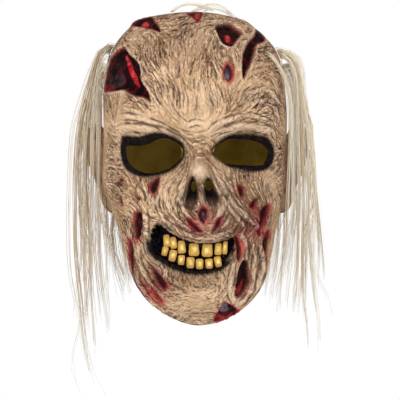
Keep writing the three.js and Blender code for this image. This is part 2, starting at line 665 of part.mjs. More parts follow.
// The strip of weft that a row of locks is sewn to, glued along the scalp under the roots.
const weftOverhang = 2.5; // degrees past the end locks
const crownTip = 0.002; // least drop of a weft's edge, just off the top of the crown
function weft(locks, width) {
  const half = width / headHeight / 2;
  const stations = [];
  locks.forEach((lock, i) => {
    const next = locks[i + 1];
    stations.push([lock.around, lock.drop]);
    if (next) stations.push([(lock.around + next.around) / 2, (lock.drop + next.drop) / 2]);
  });
  const [first, last] = [stations[0], stations.at(-1)];
  const turn = Math.sign(last[0] - first[0]);
  stations.unshift([first[0] - turn * weftOverhang, first[1]]);
  stations.push([last[0] + turn * weftOverhang, last[1]]);
  const rings = stations.map(([degrees, drop]) => {
    const around = rad(degrees);
    const corner = (edge, height) => skinAt(levelAt(around, Math.max(edge, crownTip)), around, -height);
    return [
      corner(drop - half, fit),
      corner(drop + half, fit),
      corner(drop + half, fit + weftThickness),
      corner(drop, fit + weftThickness),
      corner(drop - half, fit + weftThickness),
    ];
  });
  return closedLoft(average(rings[0]), rings, average(rings.at(-1)));
}

// A lock springs out of the weft, arches over and hangs straight down, thinning to its tip.
const lockStations = 7;
const stationCrowding = 1.35; // above 1 the stations lie closer near the root
const lockSides = 4;
const archShare = 0.16; // share of a hanging lock that is its arch
const lockRoot = 0.55; // a lock's size where it swells out of the weft
const lockSwell = 0.45; // how much more it has where it is fullest
const lockTaper = 0.55; // how much it loses to its tip
function lockSize(t, girth) {
  const swell = Math.sin(Math.PI * Math.min(1, 1.6 * t + 0.1));
  return girth * (lockRoot + lockSwell * swell) * (1 - lockTaper * t);
}

function lockSolid(lock, wide, thick) {
  const { around, drop, stand, lift, fall, spread, tuck, sway, girth } = lock;
  const { heading = around, arch = archShare } = lock;
  const angle = rad(around);
  const root = skinAt(levelAt(angle, drop), angle, -(fit + weftThickness / 2));
  const out = new THREE.Vector3(Math.sin(rad(heading)), -Math.cos(rad(heading)), 0);
  const along = new THREE.Vector3(out.y, -out.x, 0);
  const path = (t) => {
    const over = Math.min(1, t / arch);
    const reach = stand * Math.sin((over * Math.PI) / 2) + spread * (1 - (1 - t) ** 3) - tuck * t * t;
    const hanging = Math.max(0, t - arch / 2) / (1 - arch / 2);
    const height = lift * hairStand * Math.sin(over * Math.PI) - hairLength * fall * hanging;
    const point = root.clone().addScaledVector(out, reach * hairStand);
    point.addScaledVector(along, sway * hairStand * Math.sin(2 * Math.PI * t) * t);
    point.z += height;
    return point;
  };
  const places = Array.from({ length: lockStations }, (_, i) => (i / lockStations) ** stationCrowding);
  const rings = places.map((t) => {
    const tangent = path(t + 0.01).sub(path(Math.max(0, t - 0.01))).normalize();
    const across = along.clone().addScaledVector(tangent, -along.dot(tangent)).normalize();
    const normal = tangent.clone().cross(across);
    const size = lockSize(t, girth);
    return Array.from({ length: lockSides }, (_, i) => {
      const turn = (i / lockSides) * 2 * Math.PI;
      return path(t)
        .addScaledVector(across, (Math.cos(turn) * wide * size) / 2)
        .addScaledVector(normal, (Math.sin(turn) * thick * size) / 2);
    });
  });
  return closedLoft(average(rings[0]), rings, path(1));
}

function hair(locks, wide = lockWidth, thick = lockThickness, width = weftWidth) {
  return locks.reduce((body, lock) => body.add(lockSolid(lock, wide, thick)), weft(locks, width));
}

// The mask

const eyePoints = 20;
const ventPoints = 8;
const nostrilFloor = 0.7; // size of a cut's floor against its outline on the skin
const tearFloor = 0.8;
const woundFloor = 0.6;
function maskSkin() {
  let skin = outerHead().add(earSolid(-1)).add(earSolid(1)).subtract(headSpace());
  for (const hole of eyeHoles) skin = skin.subtract(straightCut(smoothOutline(hole, eyePoints)));
  skin = skin.subtract(mouthRoom());
  for (const nostril of nostrils) skin = skin.subtract(skinSlab(nostril, nostrilDepth, nostrilFloor));
  for (const { across, drop } of vents) {
    const [a, d] = [ventWidth / halfBreadth / 2, ventHeight / headHeight / 2];
    const hole = [[across - a, drop], [across, drop - d], [across + a, drop], [across, drop + d]];
    skin = skin.subtract(straightCut(smoothOutline(hole, ventPoints)));
  }
  for (const { outline, depth } of tears) skin = skin.subtract(skinSlab(outline, depth, tearFloor, true));
  for (const wound of wounds) skin = skin.subtract(skinSlab(leafOutline(wound), cutDepth, woundFloor));
  return skin;
}

const latex = new THREE.MeshStandardMaterial({ color: 0xc9a67c, roughness: 0.62, metalness: 0 });
const enamel = new THREE.MeshStandardMaterial({ color: 0xd9b44a, roughness: 0.35, metalness: 0 });
const strands = new THREE.MeshStandardMaterial({ color: 0xcbbfa3, roughness: 0.5, metalness: 0 });

const mask = new THREE.Group();
mask.add(mesh("mask_skin", maskSkin(), latex));
mask.add(mesh("upper_teeth", teethRow(upperTeeth, -1), enamel));
mask.add(mesh("lower_teeth", teethRow(lowerTeeth, 1), enamel));
mask.add(mesh("hair_left", hair(leftLocks), strands));
mask.add(mesh("hair_right", hair(rightLocks), strands));
mask.add(mesh("hair_back", hair(backLocks), strands));
mask.add(mesh("hair_crown", hair(crownLocks, crownLockWidth, crownLockWidth, crownWeftWidth), strands));

export default mask;
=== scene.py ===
# A full-head latex zombie mask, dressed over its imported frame. Blender works in metres here, while the
# numbers of the mask's own form are in millimetres, measured across from its middle and down from its
# crown.
import math

import bpy
import numpy as np
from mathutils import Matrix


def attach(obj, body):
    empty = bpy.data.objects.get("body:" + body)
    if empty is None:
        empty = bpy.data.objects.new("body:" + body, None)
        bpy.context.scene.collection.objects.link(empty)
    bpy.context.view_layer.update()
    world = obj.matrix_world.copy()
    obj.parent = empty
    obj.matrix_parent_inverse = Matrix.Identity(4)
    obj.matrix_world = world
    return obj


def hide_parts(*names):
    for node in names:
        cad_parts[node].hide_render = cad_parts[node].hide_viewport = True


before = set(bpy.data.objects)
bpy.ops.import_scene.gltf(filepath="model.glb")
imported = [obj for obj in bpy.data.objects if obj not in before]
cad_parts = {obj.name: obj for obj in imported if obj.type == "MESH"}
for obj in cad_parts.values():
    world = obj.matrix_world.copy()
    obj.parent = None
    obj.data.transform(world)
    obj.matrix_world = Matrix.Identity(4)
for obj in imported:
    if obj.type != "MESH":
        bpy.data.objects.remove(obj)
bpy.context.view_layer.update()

# THE HEAD'S FORM
# The skin is one hollow pull-over shell of cast latex, about 2 mm thick. The mould is taken from a carved
# head, so brows, nose, cheeks and chin are part of the casting. Its neck is trimmed to a slanting rim.
head_height = 296.0
half_breadth = 87.0
face_reach = 104.0
occiput_reach = 118.0
wall = 2.0
nose_rise = 17.0
face_squareness, occiput_squareness = 2.45, 2.2
drop_ease = 1.7

# side, breadth, front, front reach, back, back reach, lean
sections = np.array([
    (0.0, 0.0, 0.0, 0.0, 0.0, 0.0, -0.03), (0.022, 0.53, 0.018, 0.42, 0.022, 0.42, -0.07),
    (0.056, 0.7, 0.05, 0.63, 0.053, 0.62, -0.055), (0.115, 0.878, 0.11, 0.81, 0.11, 0.8, -0.035),
    (0.18, 0.955, 0.18, 0.92, 0.18, 0.92, -0.025), (0.25, 0.992, 0.25, 0.98, 0.25, 0.98, -0.03),
    (0.32, 1.0, 0.33, 1.0, 0.315, 1.0, -0.02), (0.395, 0.998, 0.415, 0.97, 0.375, 0.985, -0.02),
    (0.465, 0.995, 0.5, 0.95, 0.435, 0.95, -0.03), (0.535, 0.993, 0.58, 0.95, 0.495, 0.9, -0.04),
    (0.595, 0.962, 0.66, 0.965, 0.55, 0.84, -0.025), (0.65, 0.9, 0.74, 0.975, 0.6, 0.785, -0.005),
    (0.7, 0.848, 0.82, 0.95, 0.645, 0.745, 0.01), (0.745, 0.81, 0.895, 0.92, 0.68, 0.72, 0.018),
    (0.785, 0.775, 0.955, 0.865, 0.705, 0.705, 0.022), (0.806, 0.735, 0.995, 0.72, 0.72, 0.695, 0.03),
    (0.806, 0.695, 1.0, 0.55, 0.725, 0.68, 0.03),
])
last_section = len(sections) - 1


def smooth_between(a, b, c, d, t):
    """A smooth curve from b to c, whose slopes follow the neighbours a and d."""
    return b + ((c - a) * t + (2 * a - 5 * b + 4 * c - d) * t**2 + (3 * (b - c) + d - a) * t**3) / 2


def section_at(level):
    index = np.minimum(np.floor(level).astype(int), last_section - 1)
    t = (level - index)[..., None]

    def row(step):
        at = index + step
        found = sections[np.minimum(np.abs(at), last_section)].copy()
        found[at < 0] *= [1, -1, 1, -1, 1, -1, 1]
        found[at > last_section] = 2 * sections[last_section] - sections[last_section - 1]
        return found

    a, b, c, d = (row(step) for step in (-1, 0, 1, 2))
    return smooth_between(a, b, c, d, t)


def skull_at(level, around):
    side, breadth, front, front_reach, back, back_reach, lean = np.moveaxis(section_at(level), -1, 0)
    forward, sideways = np.cos(around), np.sin(around)
    is_front = forward > 0
    drop = np.where(is_front, front, back)
    reach = np.where(is_front, front_reach * face_reach, back_reach * occiput_reach)
    squareness = np.where(is_front, face_squareness, occiput_squareness)
    broad = np.maximum(breadth * half_breadth, 1e-3)
    round_sum = (np.abs(sideways) / broad) ** squareness
    round_sum = round_sum + (np.abs(forward) / np.maximum(reach, 1e-3)) ** squareness
    radius = round_sum ** (-1 / squareness)
    share = side + (drop - side) * np.abs(forward) ** drop_ease
    x = radius * sideways + lean * half_breadth
    return np.stack(np.broadcast_arrays(x, -radius * forward, wall - share * head_height), -1)


# across, drop, wide, tall, turn, edge, rise outside, rise inside
mounds = [
    (0, 0.2, 0.75, 0.12, 0, 1, 0.15, 0.15), (-0.53, 0.362, 0.36, 0.036, 4, 1.3, 0.46, 0.3),
    (0.53, 0.356, 0.36, 0.036, 2, 1.3, 0.46, 0.3), (0, 0.378, 0.2, 0.03, 0, 1, 0.2, 0.1),
    (-0.47, 0.466, 0.42, 0.07, 6, 2, -0.5, -0.5), (0.49, 0.457, 0.4, 0.066, -2, 2, -0.5, -0.5),
    (-0.72, 0.57, 0.26, 0.05, 0, 1, 0.4, 0.3), (0.76, 0.565, 0.26, 0.05, 0, 1, 0.4, 0.3),
    (0.01, 0.455, 0.12, 0.085, 0, 1, 0.75, 0.65), (0.02, 0.512, 0.13, 0.036, 0, 1, 0.85, 0.55),
    (0.04, 0.59, 0.27, 0.075, 0, 1.6, 0.42, 0), (0.47, 0.615, 0.34, 0.018, -50, 1, 0.24, 0.1),
    (-0.33, 0.635, 0.26, 0.016, 48, 1, 0.14, 0.05), (-0.05, 0.745, 0.6, 0.11, 0, 1.5, 0.36, 0.3),
    (0.03, 0.712, 0.34, 0.02, 0, 1, 0.14, 0), (-0.06, 0.845, 0.36, 0.016, 0, 1, 0.12, 0),
    (-0.66, 0.69, 0.16, 0.08, 0, 1, -0.3, -0.3), (0.72, 0.69, 0.16, 0.08, 0, 1, -0.3, -0.3),
    (0.03, 0.925, 0.36, 0.05, 0, 1.5, 0.34, 0.3), (0, 0.872, 0.32, 0.016, 0, 1, -0.14, 0),
]
# behind the mouth and the large tears the lining steps back: across, drop, wide, tall, turn, edge, depth
steps_back = [
    (-0.055, 0.752, 0.66, 0.122, -4, 3, 12), (-0.74, 0.215, 0.5, 0.13, 0, 2, 5.2),
    (0.36, 0.08, 0.3, 0.08, 0, 2, 5.2), (0.61, 0.13, 0.26, 0.13, 0, 2, 5.2),
    (0.49, 0.855, 0.24, 0.09, 0, 2, 5.2),
]


def mound(form, x, z):
    across, drop, wide, tall, turn, edge = form
    dx, dz = x - across * half_breadth, z - (wall - drop * head_height)
    c, s = math.cos(math.radians(turn)), math.sin(math.radians(turn))
    p, q = (dx * c + dz * s) / (wide * half_breadth), (dz * c - dx * s) / (tall * head_height)
    return np.exp(-((p * p + q * q) ** edge))


def smooth(value, low, high):
    t = np.clip((value - low) / (high - low), 0, 1)
    return t * t * (3 - 2 * t)


def skin_at(level, around, rise=6):
    made = skull_at(level, around)
    x, z = made[..., 0], made[..., 2]
    relief = sum(form[rise] * mound(form[:6], x, z) for form in mounds)
    made[..., 1] -= nose_rise * relief * smooth(np.cos(around), 0.12, 0.5)
    return made


def normals_of(grid):
    down = np.gradient(grid, axis=0)
    across = np.roll(grid, -1, axis=1) - np.roll(grid, 1, axis=1)
    normal = np.cross(down, across)
    length = np.linalg.norm(normal, axis=-1, keepdims=True)
    return normal / np.maximum(length, 1e-9)


def lining_at(level, around):
    inner = skin_at(level, around, rise=7)
    x, z = inner[..., 0], inner[..., 2]
    thick = wall + (np.cos(around) > 0) * sum(form[6] * mound(form[:6], x, z) for form in steps_back)
    return inner - normals_of(inner) * thick[..., None]


# The mesh is fine over the face and coarse behind: degrees round from the nose, then levels from the crown.
face_turns = np.linspace(-64, 64, 221)
side_turns = np.linspace(65.4, 112, 34)
back_turns = np.linspace(112, 248, 28)[1:-1]
turns = np.radians(np.concatenate([face_turns, side_turns, back_turns, 360 - side_turns[::-1]]))
fine_levels = np.linspace(0.04, last_section, 1500)
profiles = skin_at(fine_levels[:, None], np.radians([[0, 30, 50]]))
steps = np.linalg.norm(np.diff(profiles, axis=0), axis=-1).max(axis=1)
levels = np.interp(np.linspace(0, 1, 282), np.append(0, steps.cumsum()) / steps.sum(), fine_levels)
level_grid, turn_grid = np.meshgrid(levels, turns, indexing="ij")
smooth_skin = skin_at(level_grid, turn_grid)
out = normals_of(skull_at(level_grid, turn_grid))
X, Z = smooth_skin[..., 0], smooth_skin[..., 2]
frontal = np.cos(turn_grid)  # 1 at the nose, 0 at the ears, -1 at the back
on_front = frontal > 0.1


def patch(*form):
    """How strongly each point of the skin lies in a soft round patch."""
    return mound(form, X, Z)


# HOLES, TEARS AND WOUNDS
# The two eye holes are cut through with a knife and their rims painted black. The tears and wounds are
# carved into the head before the mould is taken, then painted by hand in black, maroon and brighter red.
# The black under their top edges is painted shadow, and the black in their deep middles is part paint and
# part painted shade.
left_eye = [
    (-65.5, 128.2), (-54.1, 128.2), (-44.6, 126.3), (-37, 122.5), (-28.5, 121.6), (-20.9, 124.4),
    (-14.2, 130.2), (-13.3, 134.9), (-15.2, 139.7), (-21.8, 146.3), (-30.4, 151), (-39.9, 153.4),
    (-49.4, 152.9), (-57.9, 149.2), (-63.6, 143.4), (-66, 135.8),
]
right_eye = [
    (15.1, 131.6), (27.5, 122.9), (42, 122.2), (56.5, 124.4), (64.5, 129.5), (66.7, 133.8), (63.6, 142.5),
    (59.5, 146.2), (42, 146.2), (27.5, 144.7), (20.2, 141.1), (16.5, 136.7),
]
left_vent = [
    (-3.4, 161.5), (-1.1, 163.4), (-0.6, 166.7), (-1.7, 170.2), (-3.4, 171.2), (-5.3, 169.1), (-5.7, 165.8),
    (-4.9, 162.9),
]
right_vent = [
    (9.5, 160.4), (12.7, 160.8), (14.2, 163.7), (14.1, 167.6), (12, 170), (9.1, 169.3), (7.8, 166.2),
    (8, 162.4),
]
left_nostril = [
    (-4.3, 155.8), (-0.9, 160.1), (0.8, 165.3), (1.5, 171.9), (0.9, 178.1), (-1.1, 183.3), (-3.8, 189),
    (-7.6, 188.6), (-10.8, 184.3), (-11.4, 178.1), (-9.5, 170), (-7.6, 162),
]
right_nostril = [
    (10.4, 157.2), (14.8, 161), (16.3, 167.2), (19.8, 172.9), (21.1, 179.1), (18.5, 183.3), (14.2, 185.1),
    (10, 182.4), (7.6, 176.2), (6.1, 169.1), (6.8, 161.5),
]
mouth = [
    (-38.5, 200.8), (-32.4, 202), (-23.4, 209.2), (-10.6, 215.3), (2.7, 218.3), (14.8, 218.3),
    (28.1, 215.3), (34.2, 212.8), (34.7, 222.3), (31.3, 229.9), (23.3, 239.4), (8.5, 244.1), (-7, 243.7),
    (-20.3, 239.9), (-32.4, 233.1), (-40.3, 227), (-43.3, 218.9), (-43.1, 209),
]


def closed_curve(points, count=120):
    """A smooth closed curve through points across and down, as places across and up."""
    across, down = np.array(points).T
    knots = np.arange(-2, len(points) + 2)
    p = np.stack([across, wall - down], 1)[knots % len(points)]
    t = np.linspace(0, len(points), count, endpoint=False)
    i = t.astype(int) + 2
    f = (t - t.astype(int))[:, None]
    a, b, c, d = p[i - 1], p[i], p[i + 1], p[(i + 2) % len(p)]
    return smooth_between(a, b, c, d, f)


def feet_on(edges_from, edges_to, p):
    """The nearest point of each edge to each point p, and how far along the edge it is."""
    run = edges_to - edges_from
    share = np.clip(((p - edges_from) * run).sum(-1) / (run**2).sum(-1), 0, 1)
    return edges_from + run * share[..., None], share


def is_inside(a, b, p):
    """Whether each point p is inside the closed outline whose edges go from a to b."""
    crosses = (a[..., 1] > p[..., 1]) != (b[..., 1] > p[..., 1])
    rise = np.where(b[..., 1] == a[..., 1], 1e-9, b[..., 1] - a[..., 1])
    left_of = p[..., 0] < (b[..., 0] - a[..., 0]) * (p[..., 1] - a[..., 1]) / rise + a[..., 0]
    return (crosses & left_of).sum(1) % 2 == 1


def depth_within(outline, x, z, reach=9.0):
    """How far inside a closed outline each point is, in millimetres, and below 0 outside it."""
    curve = closed_curve(outline)
    low, high = curve.min(0) - reach, curve.max(0) + reach
    near = (x > low[0]) & (x < high[0]) & (z > low[1]) & (z < high[1]) & on_front
    depth = np.full(x.shape, -reach)
    p = np.stack([x[near], z[near]], 1)[:, None]
    a, b = curve[None], np.roll(curve, -1, 0)[None]
    distance = np.linalg.norm(p - feet_on(a, b, p)[0], axis=-1).min(1)
    depth[near] = np.maximum(np.where(is_inside(a, b, p), distance, -distance), -reach)
    return depth


# name: outline, depth, how much blood, how much black (painted shadow) from its top edge, how wide its sore
# halo is
tears = {
    "left temple": ([
        (-69.2, 35.6), (-63.4, 42), (-54.1, 52.2), (-51.9, 67.4), (-46.1, 76.6), (-43.2, 87.4),
        (-49.6, 83.4), (-58.9, 81.7), (-69.2, 76), (-77.1, 76.6), (-87.8, 76), (-86.5, 65.1), (-81.8, 47.8),
        (-78.4, 42),
    ], 4.2, 1, 0.75, 1.2),
    "left crown": ([
        (-61.8, 11.6), (-52.2, 6.6), (-43.7, 6.2), (-38.9, 11.6), (-34, 21.3), (-43.7, 18.1), (-52.2, 16.4),
        (-59.5, 14.6),
    ], 1.6, 1, 0.6, 0.8),
    "crown nick": ([
        (-9.8, 3.1), (-2.5, 0.6), (4.8, 0.8), (3.6, 8), (0.6, 12.8), (-2.5, 9.2),
    ], 1.2, 0.9, 0.1, 1.2),
    "right crown": ([
        (17.5, 15.9), (24.1, 13.3), (30.2, 12.8), (37.5, 17.7), (42.4, 21.8), (38, 28.5), (32.7, 35.1),
        (25.4, 33.4), (20.5, 26.1),
    ], 4, 0.9, 0.9, 0.8),
    "right temple": ([
        (56.4, 14.2), (63.3, 22.4), (63.3, 29.4), (56.4, 32.8), (54.1, 40.9), (49.4, 53.5), (43.7, 66.2),
        (42, 54.6), (43.7, 40.9), (48.4, 30.4), (54.1, 23.6),
    ], 3.8, 1, 0.6, 0.8),
    "forehead hole": ([
        (28.8, 52.1), (31.9, 55.1), (32.9, 60.8), (31.7, 66.5), (28.8, 69), (25.8, 66.1), (24.9, 60.2),
        (26, 54.7),
    ], 2, 0.8, 0.5, 3.4),
    "under left eye": ([
        (-35.5, 157), (-35.2, 164.3), (-38.5, 171.6), (-41.3, 172.9), (-44.3, 168.2), (-42.4, 163.4),
    ], 1.8, 0.9, 0.35, 2.4),
    "left cheek": ([
        (-55.3, 190), (-50.9, 193.2), (-51.3, 205.6), (-53.2, 213.8), (-56.8, 215.9), (-58.9, 209.9),
        (-59.5, 198.5),
    ], 2.2, 0.9, 0.65, 3),
    "left jaw": ([
        (-63.6, 214.7), (-60.4, 218.9), (-58.9, 233.3), (-59.4, 245.7), (-62.1, 241.6), (-63.3, 228),
    ], 1.6, 0.9, 0.2, 2.2),
    "left chin": ([
        (-43.7, 240.3), (-34.2, 247.8), (-28, 256.9), (-31.2, 262), (-37.4, 255.5),
    ], 1.6, 0.75, 0.25, 2.6),
    "left chin low": ([
        (-41.3, 262.2), (-37, 266), (-32, 273.5), (-34.7, 274.6), (-39.4, 269.8),
    ], 1.4, 0.8, 0.2, 4.2),
    "under the nose": ([
        (5.2, 184.8), (9.5, 188.1), (8.9, 195.7), (5.9, 200.9), (2.3, 196.6), (0.9, 190.5),
    ], 1.8, 0.9, 0.25, 2.8),
    "lip crease left": ([
        (-8, 196.3), (-3.3, 199.5), (1.9, 204.2), (6.6, 208.6), (0.9, 208.6), (-5.7, 203.3),
    ], 1.4, 0.85, 0.15, 2.6),
    "lip crease right": ([
        (22.5, 194.5), (21.4, 201.4), (17.1, 207.1), (12.3, 209.5), (15.7, 203.3), (18.5, 197.1),
    ], 1.3, 0.8, 0.1, 2.4),
    "forehead gouge": ([
        (6.2, 35.1), (9, 37), (10.4, 43.7), (10.6, 51.3), (9.3, 56.5), (7.8, 49.4), (6.6, 41.8),
    ], 0.9, 0.05, 0.45, 0.3),
    "cheek dent high": ([
        (-74.1, 158.2), (-70.3, 156.8), (-67.8, 160.1), (-69.8, 163.4), (-73.5, 162.4),
    ], 1, 0.15, 0.5, 0.3),
    "cheek dent low": ([
        (-72.8, 175.3), (-70.5, 176.2), (-68.8, 182.4), (-70.1, 186.7), (-72.2, 184.3), (-73.5, 179.1),
    ], 1.3, 0.2, 0.8, 0.3),
    "cheek dent small": ([
        (-57.5, 176.2), (-53.2, 175.3), (-52.2, 178.1), (-55.5, 180.5),
    ], 0.9, 0.25, 0.4, 0.3),
    "smile fold": ([
        (29.9, 213.8), (32.3, 208), (37, 201.4), (40.9, 194.3), (43.7, 190), (42.4, 196.6), (39.4, 203.8),
        (34.2, 210.9),
    ], 1.3, 0, 1, 0.1),
    "right cheek top": ([
        (37.4, 164.7), (42.5, 166.2), (43.7, 173.1), (42.2, 176.2), (38.9, 173.5),
    ], 1.6, 0.8, 0.35, 2.2),
    "right cheek middle": ([
        (48.4, 184.2), (52.7, 178.2), (57.9, 175.8), (55.3, 183), (52.3, 187.1),
    ], 1.6, 0.7, 0.3, 1.8),
    "right cheek low": ([
        (58.7, 190), (62.9, 184.2), (67.1, 184.2), (65.9, 193.5), (61.8, 203.3), (58.3, 211.3), (56, 207.1),
        (58.9, 197.8),
    ], 2.2, 0.75, 0.4, 2.4),
    "right jaw": ([
        (65.9, 207.1), (67.3, 213.8), (65.7, 224.1), (64.2, 231.6), (61.4, 225.7), (61.4, 217.3),
    ], 1.6, 0.9, 0.2, 1.8),
    "jaw tear": ([
        (41.7, 236), (46.2, 235.2), (48.8, 244.4), (49.3, 254.6), (45.6, 263.8), (38.9, 269.8),
        (35.1, 267.2), (35.7, 257.2), (38.8, 244.4),
    ], 3.8, 0.95, 0.5, 2),
    "mouth corner": ([
        (34.1, 212.2), (39.1, 215.6), (40.9, 227.4), (39.1, 236), (37, 231.7), (36.6, 222.3),
    ], 2.4, 0.9, 0.6, 1.6),
    "right chin": ([
        (24.5, 274.9), (28.5, 274.6), (37.9, 281.7), (30.7, 289.2), (16.7, 291.2), (19.9, 282),
    ], 2, 0.95, 0.1, 1.6),
}
# flesh that is painted a brighter red, and bone or sinew in grey-blue, as outlines with their strength
bright_flesh = {
    "temple stripe": ([
        (-69.7, 41.8), (-66.5, 45.6), (-62.2, 54.1), (-58.4, 63.2), (-55.1, 72.2), (-57.5, 72.2),
        (-62.7, 64.6), (-67, 54.6),
    ], 1),
    "crown middle": ([
        (-52.7, 11.4), (-48, 10), (-45.6, 13.3), (-48.4, 16.1), (-51.8, 14.7),
    ], 0.8),
    "right crown middle": ([
        (27.5, 22.8), (31.3, 21.8), (32.8, 25.6), (29.9, 29), (27.5, 27.1),
    ], 0.8),
    "nick middle": ([
        (-0.9, 2.4), (2.8, 1.9), (2.4, 7.1), (0.2, 10.9), (-1.9, 6.6),
    ], 0.5),
    "cheek strip": ([
        (40.8, 216.6), (43.4, 217.3), (44.6, 225.1), (43.4, 232.6), (41.4, 226.1),
    ], 0.55),
    "jaw middle": ([
        (40.9, 258.4), (44.6, 254.6), (44.6, 261.2), (39.4, 267.4), (36.6, 266.5),
    ], 0.35),
    "chin flap": ([
        (-46.5, 258.9), (-40.9, 261.2), (-35.1, 269.8), (-33.7, 278.8), (-39.9, 273.6), (-45.6, 265.1),
    ], 0.3),
    "chin right": ([
        (18.1, 284.1), (25.6, 288.3), (33.7, 284.5), (30.4, 289.4), (17.5, 291.1),
    ], 0.4),
    "temple rim": ([
        (-87.8, 72.2), (-84.5, 68.4), (-79.8, 73.6), (-82.6, 76.5), (-87.4, 76),
    ], 0.2),
}
grey_sinew = {
    "forehead": ([
        (28.4, 55.3), (31, 58.4), (30.4, 64.6), (28.3, 66.5), (26.6, 63.2), (26.8, 57.9),
    ], 1),
    "under the nose": ([
        (5.2, 190.5), (7.6, 191.4), (7, 196.6), (4.3, 195.2),
    ], 0.9),
    "right chin": ([
        (24.7, 275.5), (28.9, 275.9), (30.6, 281.8), (25.1, 283.7), (21.5, 282),
    ], 0.85),
    "cheek dent": ([
        (64.1, 163.4), (67.5, 165.3), (67.1, 171.5), (64, 171),
    ], 0.6),
    "temple floor": ([
        (-82.6, 62.7), (-74.1, 58.9), (-69.3, 66.5), (-75, 72.7), (-82.6, 71.2),
    ], 0.12),
}

push = np.zeros_like(X)  # how far each point goes in, in millimetres
mark_names = ("blood", "raw", "sore", "sinew", "black", "crease", "ridge", "wash_and_shade")
marks = {name: np.zeros_like(X) for name in mark_names}


def deepen(name, field):
    """Paints a mark on where it would be stronger than what is there."""
    marks[name] = np.maximum(marks[name], field)


facing = smooth(-out[..., 1], 0.1, 0.45)  # the carving is shallower where the head turns away
turned_away = 9 * (1 - smooth(-out[..., 1], 0.0, 0.17))  # keeps the outlines off the sides of the head
ragged = 0.45 * np.sin(1.9 * X + 0.7 * Z) * np.sin(1.3 * Z - 0.9 * X) + 0.3 * np.sin(3.7 * Z + 2.9 * X)
deep_tear = 3  # a tear deeper than this has a pale torn lip and less of a sore halo
for outline, depth, blood, black, halo in tears.values():
    within = depth_within(outline, X, Z) + ragged - turned_away
    lip = np.exp(-(((within + 1.5) / 1.1) ** 2)) * smooth(within, -9, -4)
    push += facing * depth * smooth(within, -0.3, 1.3) - 0.8 * lip
    deepen("blood", blood * smooth(within, -0.5, 0.4))
    reddened = (0.35 if depth > deep_tear else 0.75) * min(1, 1.4 * blood + 0.15)
    deepen("sore", reddened * smooth(within, -halo - 0.8, -0.3))
    # A deep tear's raised torn lip is painted light, partly as a painted highlight.
    if depth > deep_tear:
        deepen("ridge", 0.8 * np.exp(-(((within + 1.4) / 0.8) ** 2)))
    heights = closed_curve(outline)[:, 1]
    top, bottom = heights.max(), heights.min()
    # Black under the tear's top edge is painted shadow; black in its deep middle is paint and painted
    # shade.
    from_top = smooth((Z - bottom) / (top - bottom), 1.15 - black, 1.0)
    centre = 0.85 * smooth(within, 0.6, 1.8)
    darkest = np.maximum(smooth(within, 0.1, 1.2) * from_top * min(1, black + 0.4), centre)
    deepen("black", darkest)
torn_lip = marks["ridge"].copy()
for outline, share in bright_flesh.values():
    deepen("raw", share * smooth(depth_within(outline, X, Z) - turned_away, -0.6, 0.9))
for outline, share in grey_sinew.values():
    deepen("sinew", share * smooth(depth_within(outline, X, Z) - turned_away, -0.5, 0.7))
marks["black"] *= 1 - np.maximum(marks["raw"], marks["sinew"])
nostril_depth = 6.0
for nostril in (left_nostril, right_nostril):
    within = depth_within(nostril, X, Z)
    push += nostril_depth * smooth(within, -0.4, 2.2) - 0.9 * np.exp(-(((within + 2.4) / 1.8) ** 2))
    # Each pit is darkened all over and black towards its top: black paint and painted shade.
    deepen("black", smooth(within, -0.5, 1.6) * (0.38 + 0.6 * smooth(Z, -184, -172)))
    deepen("wash_and_shade", 0.9 * smooth(within, -1.6, 0.6))
left_paint = [
    (-71.2, 122.5), (-69.3, 118.3), (-54.1, 118.8), (-44.6, 116.4), (-34.2, 115.4), (-20.9, 119.2),
    (-12.8, 125.4), (-10.9, 133.9), (-12.8, 141.5), (-20.9, 150.1), (-29.9, 154.8), (-44.6, 157.7),
    (-56.5, 156.3), (-65.5, 151), (-70.3, 142.5), (-71.7, 132),
]
right_paint = [
    (12.8, 132), (18.1, 124.9), (29.9, 117.6), (40.9, 116.7), (49.4, 116.8), (57.9, 117.8), (65.3, 119.7),
    (70.6, 125.4), (72.8, 133.8), (71.2, 143.9), (63.8, 151), (49.4, 152.5), (40.9, 150.6), (30.9, 148.7),
    (23.3, 144.4), (15.7, 138.7),
]
for eye, paint_edge in ((left_eye, left_paint), (right_eye, right_paint)):
    within = depth_within(eye, X, Z)
    push -= 1.5 * np.exp(-(((within + 2.6) / 1.8) ** 2))
    deepen("black", 0.985 * smooth(depth_within(paint_edge, X, Z) + 1.5 * ragged, -1.6, 1.4))
